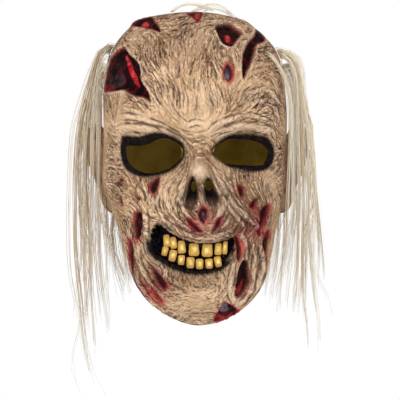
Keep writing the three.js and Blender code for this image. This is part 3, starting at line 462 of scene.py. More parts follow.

# PULLED SKIN
# Old skin is carved as many fine creases that all run the way the skin is pulled: in a fan up the brow,
# round the eyes, down round the nose and across the chin. A dark wash and painted shade sit in them, under
# lighter ridges of light tan and painted highlight.
# across, down, and which way the skin is pulled there, in degrees up from straight across
pulls = [
    (0, 84, 90), (0, 60, 90), (0, 36, 90), (-26, 84, 112), (-35, 55, 124), (-45, 36, 133), (-62, 27, 140),
    (-16, 46, 102), (-10, 79, 98), (-68, 55, 120), (8, 8, 60), (-45, 10, 35), (-26, 12, 40), (27, 10, -35),
    (15, 46, 85), (31, 46, 80), (14, 79, 80), (24, 84, 68), (33, 79, 60), (41, 46, 75), (62, 36, 35),
    (65, 51, 25), (45, 82, 46), (52, 72, 30), (62, 68, 2), (71, 68, -28), (78, 82, -60), (67, 87, -20),
    (56, 89, 15), (83, 98, -75), (-82, 82, 95), (-75, 87, 70), (-62, 94, -22), (-53, 87, -48),
    (-42, 102, -32), (-30, 95, 125), (-22, 108, -45), (-68, 106, -12), (-49, 110, -12), (-35, 110, -25),
    (18, 108, 30), (27, 103, 28), (38, 101, 18), (50, 99, 6), (58, 102, 0), (74, 108, -58), (85, 122, -85),
    (81, 110, -70), (-84, 98, -80), (-84, 115, -75), (-80, 131, 10), (-83, 145, 20), (0, 99, 90),
    (-9, 106, -60), (9, 106, 60), (0, 112, 0), (1, 122, 0), (1, 133, 0), (2, 145, 0), (-6, 141, 70),
    (-10, 131, 110), (-12, 148, 45), (-18, 158, 55), (10, 131, -60), (14, 146, -55), (18, 156, -65),
    (-75, 148, 15), (-73, 158, -5), (-66, 156, -35), (-58, 160, -62), (-50, 160, -75), (-42, 158, 75),
    (-82, 169, -40), (-75, 169, -45), (-67, 175, -50), (-58, 177, -68), (-81, 183, -50), (-71, 190, -60),
    (-27, 167, 68), (-31, 174, 85), (-22, 179, 100), (-22, 190, 112), (-16, 199, -52), (-19, 203, -40),
    (-32, 193, -62), (-37, 181, -70), (-30, 201, -30), (-42, 191, -25), (-42, 198, -8), (-48, 192, -35),
    (-26, 206, -28), (-15, 209, -24), (-5, 212, -12), (5, 213, 0), (14, 212, 8), (25, 208, 24),
    (30, 202, 36), (36, 197, 50), (24, 191, 62), (28, 181, 78), (24, 172, 105), (21, 162, -60),
    (25, 169, -58), (31, 181, -52), (39, 192, -46), (47, 200, -38), (31, 160, 85), (37, 158, 84),
    (45, 161, 86), (54, 160, 82), (62, 158, 72), (68, 154, 40), (71, 146, 15), (75, 156, 30),
    (75, 167, -60), (69, 175, -70), (56, 169, -75), (62, 179, -62), (73, 183, -85), (51, 194, -40),
    (52, 205, 60), (45, 204, 66), (55, 215, 82), (69, 203, 88), (71, 221, 80), (34, 223, 82), (30, 234, 72),
    (29, 247, 70), (34, 260, 72), (44, 223, 88), (51, 234, 86), (55, 250, 82), (65, 220, 80), (62, 247, 64),
    (52, 264, 60), (45, 274, 52), (32, 270, 75), (-67, 220, -78), (-66, 205, -80), (-48, 200, -62),
    (-46, 220, -80), (-48, 234, -66), (-55, 251, -62), (-62, 240, -72), (-58, 226, -78), (-42, 267, -50),
    (-49, 262, -56), (-28, 284, -34), (-35, 277, -42), (-45, 238, -50), (-26, 249, 80), (-11, 252, 90),
    (0, 253, 90), (14, 251, 95), (24, 243, 110), (0, 260, 0), (-11, 264, -6), (12, 264, 6), (0, 274, 0),
    (-16, 274, -10), (17, 276, 10), (0, 284, 0), (-16, 286, -12), (27, 270, 35), (0, 294, 0),
    (-21, 258, -25), (24, 258, 50), (41, 283, 40),
]

circle = 95.0  # radius that the skin is unrolled at
cell = 0.42  # the step of that unrolled skin's grid
map_turns = np.arange(-math.pi * circle, math.pi * circle, cell)
map_heights = np.arange(12.0, -310.0, -cell)
front_rows, front_columns = np.nonzero(frontal > 0.2)
spots, angles = [], []
for across, down, angle in pulls:
    gap = (X[front_rows, front_columns] - across) ** 2 + (Z[front_rows, front_columns] - wall + down) ** 2
    nearest = gap.argmin()
    row, column = front_rows[nearest], front_columns[nearest]
    following = (column + 1) % X.shape[1]
    arc = circle * (turn_grid[row, following] - turn_grid[row, column])
    stretch = (X[row, following] - X[row, column]) / max(arc, 1e-6)
    slope = math.radians(angle)
    turn_here = (turn_grid[row, column] + math.pi) % (2 * math.pi) - math.pi
    spots.append((turn_here * circle, Z[row, column]))
    angles.append(math.atan2(math.sin(slope), math.cos(slope) / max(stretch, 0.3)))
for degrees in list(range(100, 181, 20)) + list(range(-180, -99, 20)):
    for height in (-20, -80, -140, -200):
        spots.append((math.radians(degrees) * circle, height))
        angles.append(math.radians(82))
spots, angles = np.array(spots), np.array(angles)


def blurred(field, spread):
    """A field of the unrolled skin, softened over so many cells."""
    fy = np.fft.fftfreq(field.shape[0])[:, None]
    fx = np.fft.rfftfreq(field.shape[1])[None]
    soft = np.exp(-2 * (math.pi * spread) ** 2 * (fx * fx + fy * fy))
    return np.fft.irfft2(np.fft.rfft2(field) * soft, field.shape)


def speckle(spread, seed):
    made = blurred(np.random.default_rng(seed).standard_normal((len(map_heights), len(map_turns))), spread)
    return made / made.std()


coarse = 8  # the way is worked out on every eighth cell, then softened
coarse_u, coarse_v = np.meshgrid(map_turns[::coarse], map_heights[::coarse])
gaps = (coarse_u[..., None] - spots[:, 0]) ** 2 + (coarse_v[..., None] - spots[:, 1]) ** 2
weights = 1 / (gaps + 6.0) ** 2
double = np.arctan2((weights * np.sin(2 * angles)).sum(-1), (weights * np.cos(2 * angles)).sum(-1))
block = np.ones((coarse, coarse))
double_c = np.kron(np.cos(double), block)[: len(map_heights), : len(map_turns)]
double_s = np.kron(np.sin(double), block)[: len(map_heights), : len(map_turns)]
way = np.arctan2(blurred(double_s, 7), blurred(double_c, 7)) / 2
slow_way = way + 0.22 * speckle(18, 11)
way = slow_way + 0.15 * speckle(7, 12)
way_u, way_v = np.cos(way), -np.sin(way)


def streaks(seed, spread, length):
    """Noise that is drawn out along the way the skin is pulled, spread and length in millimetres."""
    grain = speckle(spread / cell, seed)
    grain = grain - blurred(grain, 3.2 * spread / cell)
    rows, columns = np.indices(grain.shape, dtype=np.float32)
    total = grain.copy()
    for sign in (1, -1):
        r, c = rows.copy(), columns.copy()
        u, v = sign * way_u, sign * way_v
        du, dv = u, v
        for _ in range(int(length / 2 / cell)):
            r += dv
            c += du
            at_r = np.clip(np.rint(r), 0, grain.shape[0] - 1).astype(np.int32)
            at_c = np.rint(c).astype(np.int32) % grain.shape[1]
            total += grain[at_r, at_c]
            new_u, new_v = way_u[at_r, at_c], way_v[at_r, at_c]
            same = np.where(new_u * du + new_v * dv < 0, -1.0, 1.0)
            du, dv = new_u * same, new_v * same
    total -= total.mean()
    return total / total.std()


def on_skin(field):
    """A field of the unrolled skin at each point of the mesh."""
    turn_here = (turn_grid + math.pi) % (2 * math.pi) - math.pi
    c = (turn_here * circle - map_turns[0]) / cell
    r = (map_heights[0] - Z) / cell
    c0, r0 = np.floor(c).astype(int), np.clip(np.floor(r).astype(int), 0, len(map_heights) - 2)
    fc, fr = c - c0, np.clip(r - r0, 0, 1)
    c1 = (c0 + 1) % len(map_turns)
    c0 = c0 % len(map_turns)
    above = field[r0, c0] * (1 - fc) + field[r0, c1] * fc
    below = field[r0 + 1, c0] * (1 - fc) + field[r0 + 1, c1] * fc
    return above * (1 - fr) + below * fr


fine = on_skin(streaks(21, 0.4, 10))
short = on_skin(streaks(22, 0.42, 4))
broad = on_skin(streaks(23, 1.25, 20))
patchy = on_skin(speckle(18, 24))
blotchy = on_skin(speckle(7, 25))
crown_share = smooth(Z, -62, -30)
lines = fine * (1 - 0.45 * crown_share) + short * 0.7 * crown_share
below_teeth = smooth(-Z - 0.25 * X, 218, 228)
lip_paint = smooth(depth_within(mouth, X, Z) + 1.2 * ragged, -5.4, -3.0) * below_teeth
deepen("black", 0.98 * lip_paint)
calm = np.maximum.reduce([marks["blood"], smooth(depth_within(mouth, X, Z), -1.5, 1), marks["black"] * 0.8])
calm = np.clip(np.maximum(calm, 0.6 * patch(0.02, 0.505, 0.11, 0.032, 0, 1)), 0, 1)
finely_made = smooth(frontal, 0.3, 0.44)
cut = smooth(-lines - 0.25 + 0.25 * patchy, 0.0, 1.3) * finely_made
chin_calm = 1 - 0.65 * patch(0.0, 0.93, 0.4, 0.07, 0, 1.5)
folds = smooth(-broad, 0.3, 1.8) * chin_calm * (0.25 + 0.75 * finely_made)
smooth_brow = patch(-0.55, 0.365, 0.5, 0.06, 0, 1.5) * on_front
marks["crease"] = np.clip((0.75 * cut + 0.5 * folds) * (1 - calm) * (1 - 0.45 * smooth_brow), 0, 1)
less_behind = 0.55 + 0.45 * smooth(frontal, -0.3, 0.3)
forehead_calm = 1 - 0.4 * patch(0.0, 0.27, 0.6, 0.12, 0, 1.5)
frown_calm = 1 - 0.65 * patch(0, 0.385, 0.9, 0.035, 0, 1)
marks["ink"] = (0.85 + 0.2 * patchy) * (1 - calm) * (1 - 0.5 * smooth_brow)
marks["ink"] = np.clip(marks["ink"] * less_behind * forehead_calm * frown_calm, 0, 1)
marks["way_c"] = on_skin(np.cos(2 * slow_way)) / 2 + 0.5
marks["way_s"] = on_skin(np.sin(2 * slow_way)) / 2 + 0.5
# Light tan on the raised streaks, partly a painted highlight.
marks["ridge"] = np.clip(smooth(lines, 0.4, 1.8) * (1 - calm) * finely_made, 0, 1)
deepen("ridge", torn_lip)
# The tip of the nose is lightened as a painted highlight, with painted shade round it.
bulb = patch(0.022, 0.516, 0.085, 0.026, 0, 1.5) * (frontal > 0)
push -= 1.6 * bulb
deepen("ridge", 0.9 * bulb)
deepen("wash_and_shade", 0.7 * patch(0.022, 0.53, 0.15, 0.05, 0, 1.5) * (1 - bulb))
marks["crease"] = marks["crease"] * (1 - torn_lip)
swollen = 0.35 * finely_made * smooth(broad, 0.3, 1.8)
carved = 0.34 * cut - 0.16 * marks["ridge"] + 0.75 * folds - swollen
push += (1 - calm) * (0.45 + 0.55 * facing) * carved
push += marks["blood"] * 0.4 * facing * on_skin(speckle(5.5, 26))

# larger ropes and folds of loose skin: points along each in across and down, its half width and its height
ropes = {
    "brow left": ([
        (-75, 114), (-63.6, 111.1), (-49.4, 112.1), (-35.1, 114.9), (-20.9, 121.6), (-8.5, 128.2),
    ], 3.2, 1.6),
    "brow right": ([
        (14.2, 124.4), (23.8, 115.9), (37, 111.1), (52.2, 110.2), (65.5, 113), (73.1, 119.7),
    ], 3.2, 1.6),
    "brow fold left": ([
        (-76, 101.6), (-63.6, 100.7), (-49.4, 103.5), (-35.1, 109.2), (-23.8, 115.9), (-12.3, 120.6),
    ], 2.2, 1.1),
    "brow fold right": ([
        (10.4, 115.9), (19.9, 108.3), (33.2, 103.5), (48.4, 99.8), (61.8, 102.6), (71.2, 110.2),
    ], 2.2, 1.1),
    "frown fold": ([
        (-10.4, 110.2), (-0.9, 106.4), (8.5, 108.3),
    ], 1.8, 0.9),
    "arch right": ([
        (40.9, 89.3), (50.3, 78.8), (61.8, 75), (71.2, 78.8), (77.9, 89.3), (81.7, 100.7),
    ], 2, 0.9),
    "arch right low": ([
        (46.5, 93.1), (56, 86.5), (65.5, 86.5), (73.1, 93.1), (77.9, 104.5),
    ], 1.9, 0.8),
    "cheek rope": ([
        (18.1, 155.8), (25.6, 170), (35.1, 184.3), (45.6, 194.8), (55.1, 203.3), (60.8, 210.9),
    ], 2.6, 1.9),
    "cheek rope two": ([
        (15.2, 161.5), (23.8, 176.7), (33.2, 190), (40.9, 199.5), (46.5, 209),
    ], 1.8, 1.1),
    "nostril left": ([
        (-10.4, 155.8), (-14.2, 167.2), (-16.1, 178.6), (-12.3, 190), (-4.8, 197.6), (2.8, 202.3),
    ], 2.3, 1.3),
    "nostril right": ([
        (20.9, 159.6), (25.6, 171), (25.6, 183.3), (20.9, 191.9), (14.2, 199.5), (8.5, 205.2),
    ], 2.3, 1.3),
    "swirl left": ([
        (-23.8, 159.6), (-29.4, 169.1), (-28.5, 180.5), (-22.8, 191.9), (-14.2, 201.4), (-2.8, 208),
    ], 1.9, 1.1),
    "swirl left out": ([
        (-35.1, 169.1), (-38, 181.4), (-33.2, 192.8), (-23.8, 203.3), (-12.3, 209.9),
    ], 1.7, 0.9),
    "upper lip": ([
        (-42.8, 196.6), (-32.3, 196.6), (-22.8, 204.2), (-10.4, 210.4), (2.8, 213.8), (15.2, 213.8),
        (27.5, 210.4), (37, 205.2),
    ], 2, 1.2),
    "mouth strand": ([
        (37, 205.2), (43.7, 214.7), (46.5, 226.1), (45.6, 237.5), (40.9, 247), (36.1, 258.4), (33.2, 269.8),
    ], 1.9, 1.5),
    "mouth strand inner": ([
        (35.1, 231.8), (33.2, 243.2), (31.3, 254.6), (31.3, 267.9), (36.1, 276.4),
    ], 1.9, 1.4),
    "jaw strand": ([
        (52.2, 210.9), (54.1, 224.2), (53.2, 237.5), (52.2, 250.8), (50.3, 262.2), (43.7, 272.6),
        (35.1, 278.3),
    ], 2.1, 1.5),
    "jaw edge right": ([
        (57.9, 216.6), (61.8, 229.9), (61.8, 243.2), (57.9, 256.5), (51.3, 267.9),
    ], 2.2, 1.2),
    "cheek edge left": ([
        (-49.4, 184.3), (-47.5, 195.7), (-47.5, 209), (-46.5, 222.3), (-43.7, 232.8),
    ], 1.9, 1.2),
    "jaw strand left": ([
        (-55.1, 219.4), (-55.1, 231.8), (-51.3, 243.2), (-44.6, 254.6), (-35.1, 265.1),
    ], 2, 1.2),
    "jaw edge left": ([
        (-57.9, 247), (-53.2, 258.4), (-45.6, 269.8), (-37, 278.3),
    ], 1.9, 1.1),
    "chin crease under lip": ([
        (-19.9, 251.8), (-6.6, 255.5), (6.6, 255.5), (19.9, 251.8),
    ], 1.6, -0.9),
}
uneven = on_skin(speckle(9, 27))
broken = 0.55 + 0.45 * smooth(on_skin(speckle(6, 28)), -0.9, 0.5)
for points, half_width, height in ropes.values():
    down_the_rope = np.array(points) * [1, -1] + [0, wall]
    spread = 3 * half_width
    low, high = down_the_rope.min(0) - spread, down_the_rope.max(0) + spread
    near = (X > low[0]) & (X < high[0]) & (Z > low[1]) & (Z < high[1]) & on_front
    p = np.stack([X[near], Z[near]], 1)[:, None]
    foot, share = feet_on(down_the_rope[None, :-1], down_the_rope[None, 1:], p)
    distance = np.linalg.norm(p - foot, axis=-1)
    nearest = distance.argmin(1)
    each = np.arange(len(nearest))
    travelled = (nearest + share[each, nearest]) / (len(down_the_rope) - 1)
    ends = smooth(travelled, 0, 0.16) * smooth(1 - travelled, 0, 0.16)
    close = np.abs(distance[each, nearest] / half_width + 0.15 * uneven[near])
    loose = 1 - calm[near]
    push[near] -= 1.3 * height * ends * np.exp(-(close**2)) * loose
    # A band of painted shade runs beside each raised rope, and a painted highlight along its top.
    beside = np.exp(-(((close - 1.45) / 0.5) ** 2)) * ends * 0.95 * broken[near] * loose
    if height > 0:
        marks["crease"][near] = np.maximum(marks["crease"][near], beside)
        lit = 0.75 * ends * np.exp(-(close**2)) * loose
        marks["ridge"][near] = np.maximum(marks["ridge"][near], lit)

# A broad wash of thinned brown and painted shade lies over the whole head, darkest at the sides and under
# the brows.
# strength, across, drop, wide, tall, turn, edge
wash_and_shade_patches = [
    (0.4, -0.47, 0.466, 0.46, 0.09, 6, 2), (0.4, 0.49, 0.457, 0.44, 0.085, -2, 2),
    (0.35, 0, 0.69, 0.42, 0.05, 0, 1), (0.3, 0.5, 0.75, 0.3, 0.15, 0, 1),
    (0.25, -0.6, 0.85, 0.25, 0.12, 0, 1), (0.35, 0, 0.875, 0.34, 0.012, 0, 1),
    (0.6, -0.03, 0.845, 0.36, 0.018, 0, 1), (0.5, 0.02, 0.58, 0.3, 0.05, 0, 1),
    (0.95, 0.46, 0.64, 0.34, 0.12, 0, 1), (0.25, 0, 0.94, 0.5, 0.06, 0, 1),
    (0.3, -0.45, 0.78, 0.2, 0.06, 0, 1),
]
sore_patches = [
    (0.4, -0.5, 0.885, 0.2, 0.05, 30, 1.5), (0.35, 0.03, 0.695, 0.22, 0.03, 0, 1.5),
    (0.3, 0.6, 0.7, 0.18, 0.06, 0, 1.5), (0.5, 0.06, 0.68, 0.2, 0.045, 0, 1.5),
]
marks["wash_and_shade"] += 0.5 * smooth(np.abs(X - 1.5), 62, 86) + 0.22 * smooth(patchy, 0.2, 1.6) + 0.6 * crown_share
marks["wash_and_shade"] += 0.4 * patch(0, 0.3, 0.3, 0.1, 0, 1) * smooth(blotchy, -0.3, 1.2) - 0.5 * smooth_brow
for strength, *form in wash_and_shade_patches:
    marks["wash_and_shade"] += strength * patch(*form)
marks["wash_and_shade"] = np.clip(marks["wash_and_shade"], 0, 1)
marks["wash_and_shade"][~on_front] = np.maximum(marks["wash_and_shade"][~on_front], 0.35)
for strength, *form in sore_patches:
    deepen("sore", strength * patch(*form))
marks["sore"] = np.clip(marks["sore"] * (1 + 0.35 * blotchy), 0, 1)

# THE MOUTH'S RECESS
# The mouth is a shallow closed tray behind the lips, painted black, that the teeth are glued into. Its
# paint fades out below the lower lip in short strokes of a dry brush.
lip_level, lip_turn = 10.72, -0.045  # where the middle of the lips is, in sections and in radians round
recess_depth = 11.0
lips_front = skin_at(np.array([[lip_level]]), np.array([[lip_turn]]))[0, 0, 1]
floor_front = lips_front + recess_depth
arch_radius = 88.0
within = depth_within(mouth, X, Z)
skin = smooth_skin - out * push[..., None]
tray = smooth(within, -0.2, 2.4)
floor = floor_front + X * X / (2 * arch_radius)
skin[..., 1] = skin[..., 1] * (1 - tray) + np.maximum(floor, skin[..., 1]) * tray
below = smooth(wall - Z, 212, 234) * 4.5
brushed = within + 0.45 * (fine * 1.3) * (1 + below)
deepen("black", smooth(brushed, -0.9 - below, 0.9))
for name in ("blood", "sore", "crease", "ridge"):
    marks[name] = marks[name] * (1 - smooth(within, -1.2, 0.6))

# The lining follows the skin in, so that no carved pit breaks through it.
pressed = np.maximum(push, 0)
for step in (1, 2, 3):
    for axis in (0, 1):
        pressed = np.maximum.reduce([pressed, np.roll(pressed, step, axis), np.roll(pressed, -step, axis)])
lining = lining_at(level_grid, turn_grid) - out * np.maximum(pressed - 0.9, 0)[..., None]

# THE SKIN'S MESH
# The outside, the lining and the cut edges of the holes and of the neck rim are one closed skin, as on the
# real casting. The lining's mesh is coarser, because the inside of a casting is smooth.
rows, columns = X.shape
points = [skin.reshape(-1, 3)]
marks_flat = {name: [np.clip(field, 0, 1).reshape(-1)] for name, field in marks.items()}
corner = np.arange(rows * columns).reshape(rows, columns)


def faces_between(at, turned=False):
    """Four-sided faces between the rows of a closed grid of point numbers."""
    beside = np.roll(at, -1, axis=1)
    if turned:
        return np.stack([at[:-1], at[1:], beside[1:], beside[:-1]], -1).reshape(-1, 4)
    return np.stack([at[:-1], beside[:-1], beside[1:], at[1:]], -1).reshape(-1, 4)


quads = faces_between(corner, turned=True)


def cut_hole(faces, place, outline):
    """Takes the faces inside an outline out, and draws the mesh's points along its edge onto it."""
    curve = closed_curve(outline, 240)
    middle = place[faces].mean(1)
    low, high = curve.min(0), curve.max(0)
    could = (middle[:, 0] > low[0]) & (middle[:, 0] < high[0]) & (middle[:, 1] < -20)
    could &= (middle[:, 2] > low[1]) & (middle[:, 2] < high[1])
    p = middle[could][:, None, [0, 2]]
    a, b = curve[None], np.roll(curve, -1, 0)[None]
    gone = np.zeros(len(faces), bool)
    gone[np.nonzero(could)[0][is_inside(a, b, p)]] = True
    edge = np.intersect1d(faces[gone].ravel(), faces[~gone].ravel())
    near = place[edge][:, None, [0, 2]]
    foot, _ = feet_on(a, b, near)
    nearest = np.linalg.norm(near - foot, axis=-1).argmin(1)
    moved = foot[np.arange(len(edge)), nearest]
    place[edge, 0], place[edge, 2] = moved[:, 0], moved[:, 1]
    return faces[~gone], faces[gone], edge


holes = (left_eye, right_eye, left_vent, right_vent)
outside = points[0]
edge_faces, extra = [], []
for outline in holes:
    quads, gone, edge = cut_hole(quads, outside, outline)
    sides = np.stack([gone, np.roll(gone, -1, 1)], -1).reshape(-1, 2)
    _, first, count = np.unique(np.sort(sides, 1), axis=0, return_index=True, return_counts=True)
    rim = sides[first[count == 1]]
    start = rows * columns + sum(len(e) for e in extra)
    number = {point: start + i for i, point in enumerate(edge)}
    extra.append(edge)
    edge_faces += [(a, b, number[b], number[a]) for a, b in rim if a in number and b in number]
ring_points = np.concatenate(extra)
back_of_edge = outside[ring_points].copy()
least_edge = 0.8
behind_edge = lining.reshape(-1, 3)[ring_points, 1]
back_of_edge[:, 1] = np.maximum(behind_edge, back_of_edge[:, 1] + least_edge)
points.append(back_of_edge)
for name in marks_flat:
    marks_flat[name].append(np.full(len(ring_points), 1.0 if name == "black" else 0.0))
outer_count = rows * columns + len(ring_points)

# The lining has every fourth row, and every fourth column over the face.
keep_rows = np.unique(np.append(np.arange(0, rows, 4), rows - 1))
keep_columns = np.append(np.arange(0, len(face_turns), 4), np.arange(len(face_turns), columns, 2))
inner = lining[np.ix_(keep_rows, keep_columns)]
inner_rows, inner_columns = inner.shape[:2]
inner_points = inner.reshape(-1, 3).copy()
inner_corner = np.arange(inner_rows * inner_columns).reshape(inner_rows, inner_columns)
inner_quads = faces_between(inner_corner)
for outline in holes:
    inner_quads, _, _ = cut_hole(inner_quads, inner_points, outline)
points += [inner_points, lining[-1]]
inner_quads = inner_quads + outer_count
rim_start = outer_count + len(inner_points)
crown_start = rim_start + columns
points.append(np.array([skin[0].mean(0) + [0, 0, 0.05], inner[0].mean(0)]))
for name in marks_flat:
    marks_flat[name].append(np.zeros(len(inner_points) + columns + 2))
last_row = corner[-1]
rim_row = rim_start + np.arange(columns)
rim_quads = np.stack([last_row, rim_row, np.roll(rim_row, -1), np.roll(last_row, -1)], -1)
crown_triangles = [(crown_start, a, b) for a, b in zip(corner[0], np.roll(corner[0], -1))]
inner_first = outer_count + inner_corner[0]
crown_triangles += [(crown_start + 1, b, a) for a, b in zip(inner_first, np.roll(inner_first, -1))]


def new_piece(name, corners, faces, materials, slots=None):
    """A mesh object from points in millimetres."""
    made = bpy.data.meshes.new(name)
    made.from_pydata((np.asarray(corners) / 1000).tolist(), [], [list(map(int, face)) for face in faces])
    for material in materials:
        made.materials.append(material)
    if slots is not None:
        made.polygons.foreach_set("material_index", np.asarray(slots, np.int32))
    made.polygons.foreach_set("use_smooth", np.ones(len(made.polygons), bool))
    made.update()
    piece = bpy.data.objects.new(name, made)
    bpy.context.scene.collection.objects.link(piece)
    return piece


def give(piece, name, values):
    """Stores a value at each point of a piece, for its material."""
    field = piece.data.attributes.new(name, "FLOAT", "POINT")
    field.data.foreach_set("value", np.asarray(values, np.float32))


class Link:
    """An output of a material's nodes. Arithmetic on it adds Math nodes."""

    def __init__(self, tree, socket):
        self.tree = tree
        self.socket = socket

    def math(self, operation, a, b):
        return add_node(self.tree, "ShaderNodeMath", {"operation": operation}, {0: a, 1: b})

    def __add__(self, other):
        return self.math("ADD", self, other)

    def __radd__(self, other):
        return self.math("ADD", other, self)

    def __sub__(self, other):
        return self.math("SUBTRACT", self, other)

    def __rsub__(self, other):
        return self.math("SUBTRACT", other, self)

    def __mul__(self, other):
        return self.math("MULTIPLY", self, other)

    def __rmul__(self, other):
        return self.math("MULTIPLY", other, self)


def add_node(tree, kind, settings=None, values=None, output=0):
    """Adds a node: its settings first, then the values or links of its sockets."""
    made = tree.nodes.new(kind)
    for name, value in (settings or {}).items():
        setattr(made, name, value)
    for name, value in (values or {}).items():
        if isinstance(value, Link):
            tree.links.new(value.socket, made.inputs[name])
        elif isinstance(value, tuple) and len(value) == 3 and made.inputs[name].type == "RGBA":
            made.inputs[name].default_value = (*value, 1)
        else:
            made.inputs[name].default_value = value
    return Link(tree, made.outputs[output])


class Finish:
    """A material with a Principled shader, built up from what is worn, painted or cast on it."""

    def __init__(self, name, **sockets):
        self.material = bpy.data.materials.new(name)
        self.material.use_nodes = True
        self.tree = self.material.node_tree
        self.shader = self.tree.nodes["Principled BSDF"]
        for socket, value in sockets.items():
            self.shader.inputs[self.label(socket)].default_value = value
        self.place = self.node("ShaderNodeTexCoord", output=3)

    def label(self, word):
        return word.replace("_", " ").title().replace("Ior", "IOR")

    def node(self, kind, settings=None, values=None, output=0):
        return add_node(self.tree, kind, settings, values, output)

    def mark(self, name):
        return self.node("ShaderNodeAttribute", {"attribute_name": name}, output=2)

    def noise(self, scale, detail=3.0, place=None):
        values = {"Vector": place or self.place, "Scale": scale, "Detail": detail, "Roughness": 0.55}
        return self.node("ShaderNodeTexNoise", {}, values)

    def eased(self, value, low, high):
        values = {"Value": value, "From Min": low, "From Max": high}
        return self.node("ShaderNodeMapRange", {"interpolation_type": "SMOOTHSTEP"}, values)

    def blend(self, share, under, over):
        settings = {"data_type": "RGBA", "clamp_factor": True}
        return self.node("ShaderNodeMix", settings, {0: share, 6: under, 7: over}, output=2)

    def set(self, **sockets):
        for socket, value in sockets.items():
            target = self.shader.inputs[self.label(socket)]
            if isinstance(value, Link):
                self.tree.links.new(value.socket, target)
            else:
                target.default_value = value

    def math(self, operation, a, b):
        return self.node("ShaderNodeMath", {"operation": operation}, {0: a, 1: b})

    def vector(self, operation, a, b=None, scale=None, output=0):
        values = {0: a, 1: b, "Scale": scale}
        values = {name: value for name, value in values.items() if value is not None}
        return self.node("ShaderNodeVectorMath", {"operation": operation}, values, output)

    def bump(self, height, distance, strength=1.0):
        values = {"Height": height, "Distance": distance, "Strength": strength}
        self.set(Normal=self.node("ShaderNodeBump", {}, values))


def paint(red, green, blue):
    """A colour of the paint shelf, from what a screen shows to what light does."""
    shown = [level / 255 for level in (red, green, blue)]
    return tuple(((s + 0.055) / 1.055) ** 2.4 if s > 0.04 else s / 12.92 for s in shown)


# THE PAINT ON THE LATEX
# The dry casting is painted by hand: tan all over, a dark wash wiped into the creases, a lighter tan on
# the ridges, and black, maroon and red in the wounds. Painted shade also darkens the creases, the sides,
# the eye sockets, the nostrils and the tears under their top edges, and painted highlights lighten the
# ridges. The inside is left bare.
latex = Finish("painted latex", roughness=0.6, specular_ior_level=0.0, coat_roughness=0.35)
crease, ridge, wash_and_shade = latex.mark("crease"), latex.mark("ridge"), latex.mark("wash_and_shade")
blood, raw, sore = latex.mark("blood"), latex.mark("raw"), latex.mark("sore")
sinew, black, ink = latex.mark("sinew"), latex.mark("black"), latex.mark("ink")
cloudy = latex.noise(26, 4)
freckle = latex.noise(260, 3)
grain = latex.noise(900, 2)

# Short strokes of dark ink follow the pull of the skin. Each small cell of the surface turns its own
# stretched noise to the way that is stored on the mesh.
pull_angle = latex.math("ARCTAN2", latex.mark("way_s") - 0.5, latex.mark("way_c") - 0.5) * 0.5
pull_c, pull_s = latex.math("COSINE", pull_angle, 0.0), latex.math("SINE", pull_angle, 0.0)
normal = latex.node("ShaderNodeNewGeometry", output=1)
level_way = latex.vector("CROSS_PRODUCT", (0.0, 0.0, 1.0), normal)
rising_way = latex.vector("CROSS_PRODUCT", normal, level_way)


def ink_strokes(cells, length, breadth, shift):
    moved = latex.vector("ADD", latex.place, (shift, shift, shift))
    cell_values = {"Vector": moved, "Scale": cells}
    centre, chance = (latex.node("ShaderNodeTexVoronoi", {}, cell_values, output) for output in (2, 1))
    off = latex.vector("SUBTRACT", moved, centre)
    level = latex.vector("DOT_PRODUCT", off, level_way, output=1)
    rising = latex.vector("DOT_PRODUCT", off, rising_way, output=1)
    along = level * pull_c + rising * pull_s
    across = rising * pull_c - level * pull_s
    spot = latex.node("ShaderNodeCombineXYZ", {}, {0: along * (1 / length), 1: across * (1 / breadth)})
    far_apart = latex.vector("SCALE", chance, scale=40.0)
    return latex.noise(1.0, 1.5, latex.vector("ADD", spot, far_apart))


long_strokes = latex.eased(ink_strokes(82, 0.0105, 0.00105, 0.0), 0.535, 0.605)
short_strokes = latex.eased(ink_strokes(170, 0.0034, 0.00095, 0.31), 0.56, 0.66)
strokes = latex.math("MAXIMUM", long_strokes, short_strokes) * ink

tan = latex.blend(latex.eased(cloudy, 0.35, 0.68), paint(227, 191, 153), paint(190, 153, 115))
tan = latex.blend(latex.eased(freckle, 0.5, 0.72) * 0.3, tan, paint(140, 106, 78))
# The broad wash, with its painted shade.
tan = latex.blend(wash_and_shade * 0.8, tan, paint(102, 70, 52))
# Light tan and painted highlight on the ridges.
tan = latex.blend(ridge * 0.75, tan, paint(244, 216, 186))
sore_paint = latex.blend(latex.eased(cloudy, 0.4, 0.6), paint(202, 102, 96), paint(160, 52, 58))
tan = latex.blend(sore, tan, sore_paint)
# A dark wash and painted shade in the creases.
crease_wash_and_shade = latex.eased(crease + (grain - 0.5) * 0.4, 0.12, 0.9)
tan = latex.blend(crease_wash_and_shade * 0.85, tan, latex.blend(sore, paint(72, 50, 44), paint(78, 18, 22)))
tan = latex.blend(strokes * 0.92, tan, latex.blend(sore, paint(66, 42, 34), paint(60, 12, 16)))
wet = latex.noise(150, 3)
mottled = latex.eased(latex.noise(330, 3), 0.36, 0.52)
flesh = latex.blend(latex.eased(wet, 0.4, 0.66), paint(34, 8, 11), paint(104, 20, 27))
tan = latex.blend(blood, tan, flesh)
